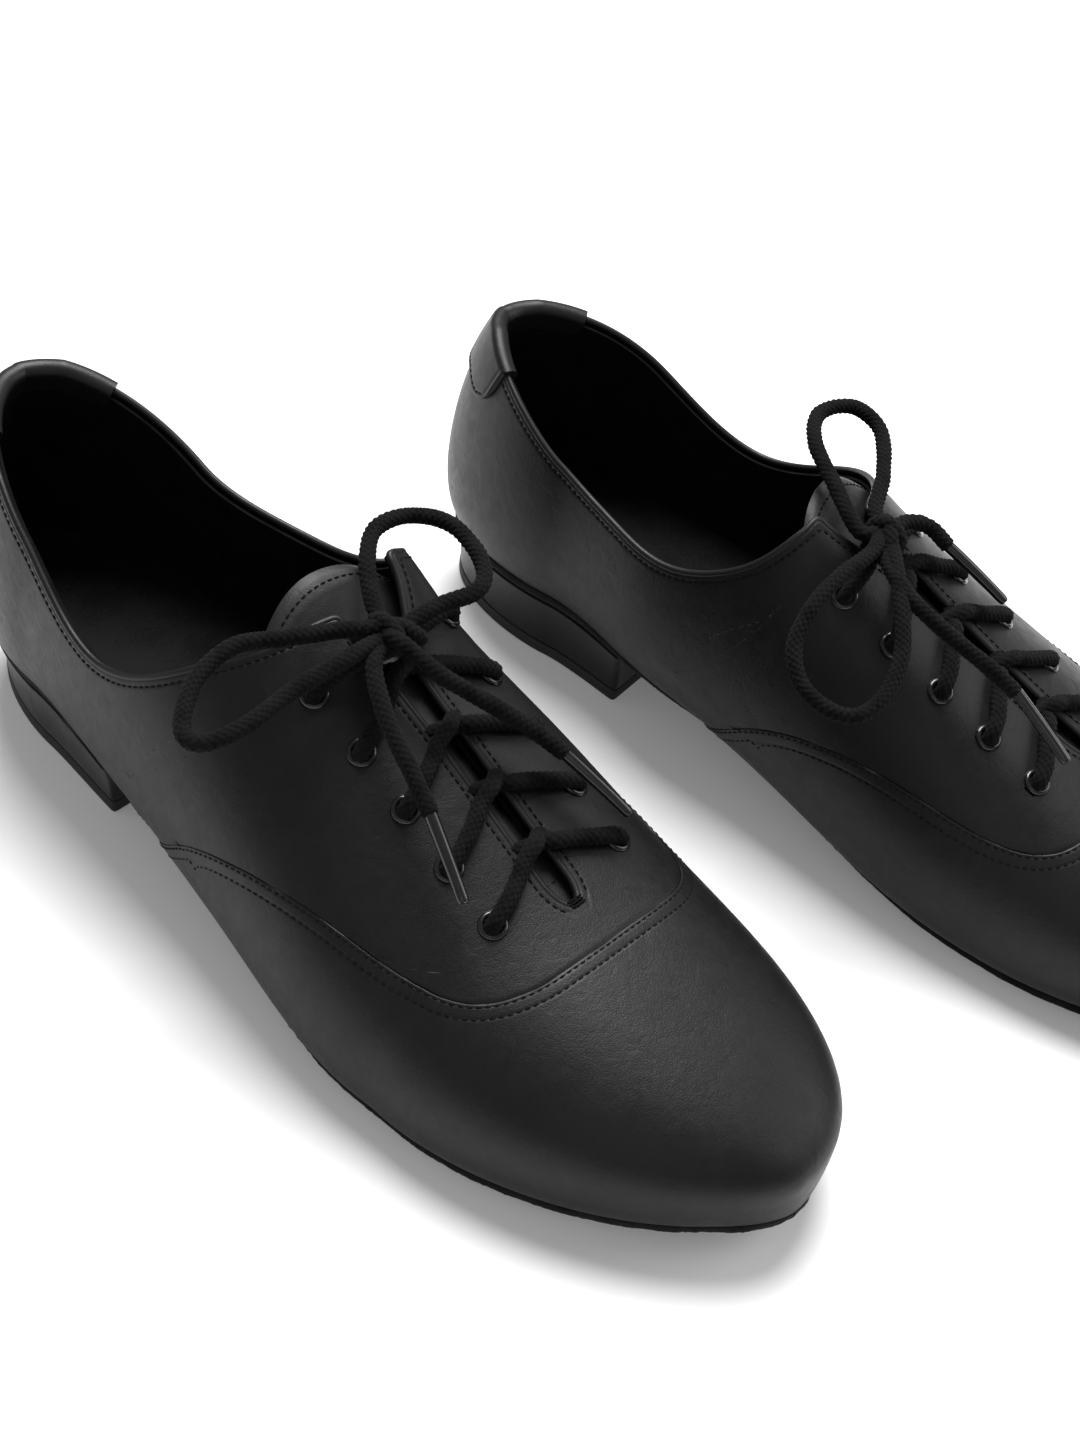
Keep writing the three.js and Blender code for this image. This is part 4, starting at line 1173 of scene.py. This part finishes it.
def aglet(shoe, which, start, way):
    """A rolled plastic sleeve with a lap seam and a pinched tip."""
    t = np.linspace(0, 1, AGLET_STEPS)[:, None]
    path = start + way * (-1.5 + AGLET_LENGTH * t) - np.array([0, 0, AGLET_SAG]) * t**2
    turn = np.linspace(0, 2 * math.pi, AGLET_AROUND, endpoint=False)[None]
    radius = AGLET_RADIUS * (1 - 0.12 * smoothstep(0.1, 1, t)) * (1 - 0.10 * smoothstep(0.93, 1, t))
    radius = radius * (1 + 0.05 * np.cos(2 * turn) * smoothstep(0.7, 1, t))
    radius = radius + 0.13 * np.exp(-(((turn - math.pi / 2) / 0.2) ** 2))
    radius = radius - 0.16 * np.exp(-(((turn - math.pi / 2 - 0.32) / 0.1) ** 2))
    radius[0] *= 0.75
    radius[1] *= 0.95
    radius[-1] *= 0.8
    parts = Parts()
    parts.add(tube_points(path, radius, AGLET_AROUND), tube_faces(AGLET_STEPS, AGLET_AROUND))
    return parts.object(shoe, f"aglet_{which}", TIP)


def slit_tack(shoe):
    """The bar tack that closes the slit's lower end."""
    parts = Parts()
    for k in range(3):
        s = SLIT_END - 0.7 + 0.75 * k
        half = 2.1 - 0.2 * k
        bar = [(LATERAL, half, -0.25), (LATERAL, half * 0.7, 0.3), (LATERAL, 0.05, 0.45),
               (MEDIAL, half * 0.7, 0.3), (MEDIAL, half, -0.25)]
        parts.tube(smooth_path([above(s, *at) for at in bar], 0.3), 0.24, 8)
    return parts.object(shoe, "slit_tack", THREAD)


# Bottom.
def feather_plan(lateral_q, medial_q):
    """Plan points at the feather line, from the lateral side round the heel to the medial."""
    lateral, medial = surface(lateral_q, LATERAL, FEATHER), surface(medial_q, MEDIAL, FEATHER)
    return np.vstack([lateral[::-1], medial[1:]])[:, :2]


def moved_in(ring, distance):
    along = unit(np.gradient(ring, axis=0))
    inward = np.stack([along[:, 1], -along[:, 0]], -1)
    turned = ((ring.mean(0) - ring) * inward).sum() < 0
    return ring + (-inward if turned else inward) * distance


def feather_ring(inset, count, spread):
    """The feather line moved inwards, a little less so round the toe."""
    q = 2 * (1 - (1 - np.linspace(0, 1, 900)) ** 2)
    ring = feather_plan(q, q)
    ring = even(ring, arc_lengths(ring)[-1] / count)
    return moved_in(ring, inset - spread * smoothstep(150, 235, ring[:, :1]))


def with_height(plan, height):
    return np.column_stack([plan[:, :2], height(plan[:, 0])])


def ringed_object(shoe, name, grid, material):
    """A closed body from rings that shrink to almost nothing at both ends."""
    faces = grid_faces(len(grid), grid.shape[1], wrap=True)
    obj = mesh_object(shoe, name, grid.reshape(-1, 3), faces, material)
    weld(obj)
    return obj


def fuzz(grid, seed, amount):
    """Seeded unevenness for the cut edge of a suede sole."""
    random = np.random.default_rng(seed)
    rows, columns = grid.shape[:2]
    noise = random.normal(0, 1, (rows, columns))
    broad = np.convolve(random.normal(0, 1, columns), np.ones(9) / 3, "same")
    out = unit((grid - grid.mean((0, 1))) * [1, 1, 0])
    weight = np.ones((rows, 1))
    weight[:4] = weight[-4:] = 0
    moved = grid + out * (amount * (0.5 * noise + 0.6 * broad[None]) * weight)[..., None]
    moved[..., 2] = np.maximum(grid[..., 2] + 0.15 * amount * noise * weight, 0)
    return moved


def sole_bottom(s):
    return np.maximum(0, seat_z(s) - SOLE_THICKNESS - 0.3)


SOLE_ROWS = [(1.7, 0.0), (1.0, 0.04), (0.55, 0.2), (0.4, 0.4), (0.4, 0.6), (0.5, 0.8), (0.85, 0.95),
             (1.4, 1.0)]  # (inset, share of the thickness) from the tread up
SOLE_LIP = (2.0, 0.8)  # inset and rise of the last ring, hidden inside the upper
SOLE_COLUMNS, SOLE_SPREAD, SOLE_FUZZ, SOLE_SEED = 900, 0.4, 0.2, 5


def outsole(shoe):
    """Rings round the sole, closed below and above."""

    def at(share):
        return lambda s: sole_bottom(s) + (seat_z(s) - 0.05 - sole_bottom(s)) * share

    rows = [(inset, at(share)) for inset, share in SOLE_ROWS]
    rows.append((SOLE_LIP[0], lambda s: seat_z(s) + SOLE_LIP[1]))
    rings = [with_height(feather_ring(inset, SOLE_COLUMNS, SOLE_SPREAD), height) for inset, height in rows]
    middle = 0.5 * (rings[0] + rings[0][::-1])

    def closing(row):
        return [with_height(middle + (rings[row] - middle) * k, rows[row][1])
                for k in (0.04, 0.3, 0.6, 0.85)]

    grid = fuzz(np.array(closing(0) + rings + closing(-1)[::-1]), SOLE_SEED + shoe.mirrored, SOLE_FUZZ)
    return ringed_object(shoe, "outsole", grid, SUEDE)


HEEL_FRONT = {LATERAL: 79.0, MEDIAL: 75.0}
TOP_PIECE_HEIGHT = 4.0
HEEL_COLUMNS = 220


def heel_ring(inset):
    """Closed plan of the heel: the round back, and the breast across it with eased corners."""
    ends = [q_of(HEEL_FRONT[side] - inset * 0.4) for side in (LATERAL, MEDIAL)]
    ring = moved_in(feather_plan(*(np.linspace(0, q, 300) for q in ends)), inset)
    closed = np.vstack([ring, ring[:1]])
    closed = even(closed, 0.6)[:-1]
    for _ in range(3):
        closed = (np.roll(closed, 1, 0) + 2 * closed + np.roll(closed, -1, 0)) / 4
    closed = np.vstack([closed, closed[:1]])
    return resample(closed, np.linspace(0, arc_lengths(closed)[-1], HEEL_COLUMNS + 1)[:-1])


def heel_stack(shoe, name, rows, material):
    """Rings of the heel's plan at (inset, height of s), closed below and above."""
    rings = [with_height(heel_ring(inset), height) for inset, height in rows]
    middle = rings[0].mean(0)
    below = [with_height(middle + (rings[0] - middle) * k, lambda s: rows[0][1](0) + 0 * s)
             for k in (0.02, 0.6)]
    top = [with_height(middle + (rings[-1] - middle) * k, rows[-1][1]) for k in (0.6, 0.02)]
    return ringed_object(shoe, name, np.array(below + rings + top), material)


def heel_block(shoe):
    def top(s):
        return seat_z(np.minimum(s, 90)) - SOLE_THICKNESS - 0.35

    def between(share):
        return lambda s: TOP_PIECE_HEIGHT + 0.15 + (top(s) - TOP_PIECE_HEIGHT - 0.15) * share

    rows = [(4.2, between(0.0)), (3.75, between(0.015))]
    for share in np.linspace(0.04, 0.96, 14):
        rows.append((3.7 - 3.3 * share + 0.8 * math.sin(math.pi * share), between(share)))
    rows += [(0.45, between(0.985)), (0.9, top)]
    return heel_stack(shoe, "heel_block", rows, HEEL)


def heel_top_piece(shoe):
    def at(z):
        return lambda s: z + 0 * s

    rows = [(4.4, at(0.0)), (3.9, at(0.15)), (3.65, at(0.5)), (3.6, at(2.0)), (3.6, at(3.4)), (3.7, at(3.9)),
            (4.2, at(TOP_PIECE_HEIGHT))]
    return heel_stack(shoe, "heel_top_piece", rows, RUBBER)


SOCK_END, SOCK_ANGLE, SOCK_INSET, SOCK_THICK = 176.0, -60.0, 3.2, 0.9


def heel_sock(shoe):
    """The insole cover: dished under the heel and turned up where it meets the lining."""
    u = np.linspace(1, -1, 40)[None]
    q = np.linspace(0.0, q_of(SOCK_END), 120)[:, None]
    outer, inner = (surface(q, side, SOCK_ANGLE)[..., :2] for side in (LATERAL, MEDIAL))
    share = (1 - u)[..., None] / 2
    plan = outer * (1 - share) + inner * share
    middle = (outer + inner) / 2
    reach = np.linalg.norm(outer - inner, axis=-1, keepdims=True) / 2
    plan = middle + (plan - middle) * np.maximum(0, 1 - SOCK_INSET / np.maximum(reach, SOCK_INSET + 0.1))
    s = np.maximum(plan[..., 0], -4)
    rim = np.abs(u) ** 4 * 1.6 + 1.2 * smoothstep(12, -2, plan[..., 0])
    z = seat_z(np.maximum(s, 0)) + 4.6 + rim - 0.5 * np.exp(-(((s - 38) / 26) ** 2)) * (1 - u**2)
    return slab_object(shoe, "heel_sock", np.dstack([plan, z]), np.dstack([plan, z - SOCK_THICK]), SOCK)


# Assembly.
def rides(obj, shoe, part, slot, *nodes):
    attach(obj, shoe.body(part))
    finish_piece(shoe, nodes)


def bends(obj, shoe, slot, *nodes):
    """A piece that crosses the ball: its placing is baked into its mesh, and the CAD parts it stands for are
    hidden.
    """
    start = shoe.place(np.array([FLEX_START, 0.0, 0.0]))
    end = shoe.place(np.array([FLEX_END, 0.0, 0.0]))
    shoe.body("shoe")
    shoe.body("forefoot")
    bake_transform(obj)
    finish_piece(shoe, nodes)


def finish_piece(shoe, nodes):
    if nodes:
        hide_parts(*[f"{shoe.name}_{n}" for n in nodes])


NODE_LOOKS = {"insole_board_rear": SOCK, "insole_board_toe": SOCK, "shank": STEEL, "heel_screw": STEEL,
              "heel_counter": BOARD, "toe_puff": BOARD}


def build_shoe(name):
    shoe = Shoe(name)
    for side in (LATERAL, MEDIAL):
        word = SIDE_NAME[side]
        piece, points, normals, edge = quarter(shoe, side)
        rides(piece, shoe, "shoe", "leather", f"quarter_{word}")
        rides(lining(shoe, side), shoe, "shoe", "lining", f"lining_{word}")
        bead = edge_bead(side).object(shoe, f"edge_bead_{word}", EDGE_LEATHER)
        rides(bead, shoe, "shoe", "leather")
        path, up = offset_rows(points, normals, edge, EDGE_STITCH)
        keep = path[:, 0] < SLIT_END + 2.2
        thread = Parts()
        stitches(thread, path[keep], up[keep], lift=-0.02)
        rides(thread.object(shoe, f"edge_stitches_{word}", THREAD), shoe, "shoe", "leather")
        rides(eyelets(shoe, side), shoe, "shoe", "eyelet", f"eyelets_{word}")
        rides(bow_loop(shoe, word), shoe, f"{word}_loop", "cord", f"bow_loop_{word}")
        end, tip, way = lace_end(shoe, word)
        rides(end, shoe, f"{word}_end", "cord", f"lace_end_{word}")
        rides(aglet(shoe, word, tip, way), shoe, f"{word}_end", "aglet", f"aglet_{word}")
    piece, seam = vamp(shoe)
    seam_lines = Parts()
    bends(piece, shoe, "leather", "vamp_rear", "vamp_toe")
    for distance in STITCH_ROWS:
        path, up = seam_offset(seam, distance)
        rise = vamp_height(np.full(len(path), distance))
        stitches(seam_lines, raised(path, up, rise), up, lift=0.05)
    bends(seam_lines.object(shoe, "vamp_stitches", THREAD), shoe, "leather")
    for make, part in ((tongue, "tongue_body"), (heel_tab, "shoe")):
        piece, thread = make(shoe)
        rides(piece, shoe, part, "leather", make.__name__)
        rides(thread, shoe, part, "leather")
    rides(lace(shoe), shoe, "shoe", "cord", "lace")
    rides(slit_tack(shoe), shoe, "shoe", "leather")
    for make, slot in ((heel_sock, "lining"), (heel_block, "heel"), (heel_top_piece, "rubber")):
        rides(make(shoe), shoe, "shoe", slot, make.__name__)
    bends(outsole(shoe), shoe, "suede", "outsole_rear", "outsole_toe")
    for node, material in NODE_LOOKS.items():
        obj = frame["nodes"][f"{name}_{node}"]
        obj.data.materials.clear()
        obj.data.materials.append(material)


for shoe_name in ("right", "left"):
    build_shoe(shoe_name)


# Stage.
FLOOR_REACH = 6.0  # metres


def floor_material():
    """A pale floor whose weak glow lifts the shadows, as a bright room does."""
    material, nodes, where, shader = new_material("pale_floor", (1.0, 1.0, 1.0))
    cloud = add_node(nodes, "TexNoise", "Fac", Vector=where, Scale=3.0, Detail=3.0)
    shade = ramp(nodes, cloud, [(0.3, grey(0.86)), (0.7, grey(0.88))])
    settle(shader, Base_Color=shade, Roughness=0.9, Specular_IOR_Level=0.1,
           Emission_Color=(1, 1, 1, 1), Emission_Strength=0.12)
    return material


def add_floor():
    mesh = bpy.data.meshes.new("floor")
    corners = [(-1, -1), (1, -1), (1, 1), (-1, 1)]
    mesh.from_pydata([(FLOOR_REACH * x, FLOOR_REACH * y, 0) for x, y in corners], [], [(0, 1, 2, 3)])
    mesh.materials.append(floor_material())
    obj = bpy.data.objects.new("floor", mesh)
    bpy.context.scene.collection.objects.link(obj)
    obj.location.z = -0.0002


def add_area_light(name, direction, distance, size, power):
    data = bpy.data.lights.new(name, "AREA")
    data.shape = "DISK"
    data.size = size
    data.energy = power
    obj = bpy.data.objects.new(name, data)
    bpy.context.scene.collection.objects.link(obj)
    back = unit(np.array(direction, float))
    obj.location = CAMERA_AIM + back * distance
    across = unit(np.cross([0.01, 0.02, 1.0], back))
    turn = Matrix((across, np.cross(back, across), back)).transposed()
    obj.rotation_euler = turn.to_euler()


def add_light():
    world = bpy.data.worlds.new("studio")
    world.use_nodes = True
    settle(world.node_tree.nodes["Background"], Color=(1, 1, 1, 1), Strength=0.3)
    bpy.context.scene.world = world
    add_area_light("key", (0.35, 0.35, 1.0), 1.5, 1.0, 41)
    add_area_light("side", (1.2, -0.9, 0.9), 1.5, 0.9, 6)
    add_area_light("front", (-1.2, -1.0, 1.1), 1.6, 0.9, 1.2)


# Camera: azimuth and elevation of the view, its roll, and where it looks, as shares of the CAD box.
CAMERA = {"azimuth": -51.66, "elevation": 42.35, "roll": 9.41, "distance": 0.5237, "lens": 49.4}
AIM_SHARES = np.array([0.4069, 0.5387, 0.3961])
CAMERA_AIM = np.array(cad_box[0]) + AIM_SHARES * np.ptp(cad_box, axis=0)


def add_camera():
    azimuth, elevation, roll = (math.radians(CAMERA[k]) for k in ("azimuth", "elevation", "roll"))
    back = np.array([math.sin(azimuth) * math.cos(elevation), -math.cos(azimuth) * math.cos(elevation),
                     math.sin(elevation)])
    right = np.array([math.cos(azimuth), math.sin(azimuth), 0.0])
    up = np.cross(back, right)
    turned_right = math.cos(roll) * right + math.sin(roll) * up
    turned_up = -math.sin(roll) * right + math.cos(roll) * up
    data = bpy.data.cameras.new("camera")
    data.sensor_fit = "VERTICAL"
    data.sensor_height = 36
    data.lens = CAMERA["lens"]
    data.clip_start = 0.01
    obj = bpy.data.objects.new("camera", data)
    bpy.context.scene.collection.objects.link(obj)
    turn = np.eye(4)
    turn[:3, :3] = np.array([turned_right, turned_up, back]).T
    turn[:3, 3] = CAMERA_AIM + back * CAMERA["distance"]
    obj.matrix_world = Matrix(turn.tolist())
    bpy.context.scene.camera = obj


add_camera()
add_floor()
add_light()
bpy.context.scene.view_settings.view_transform = "Standard"
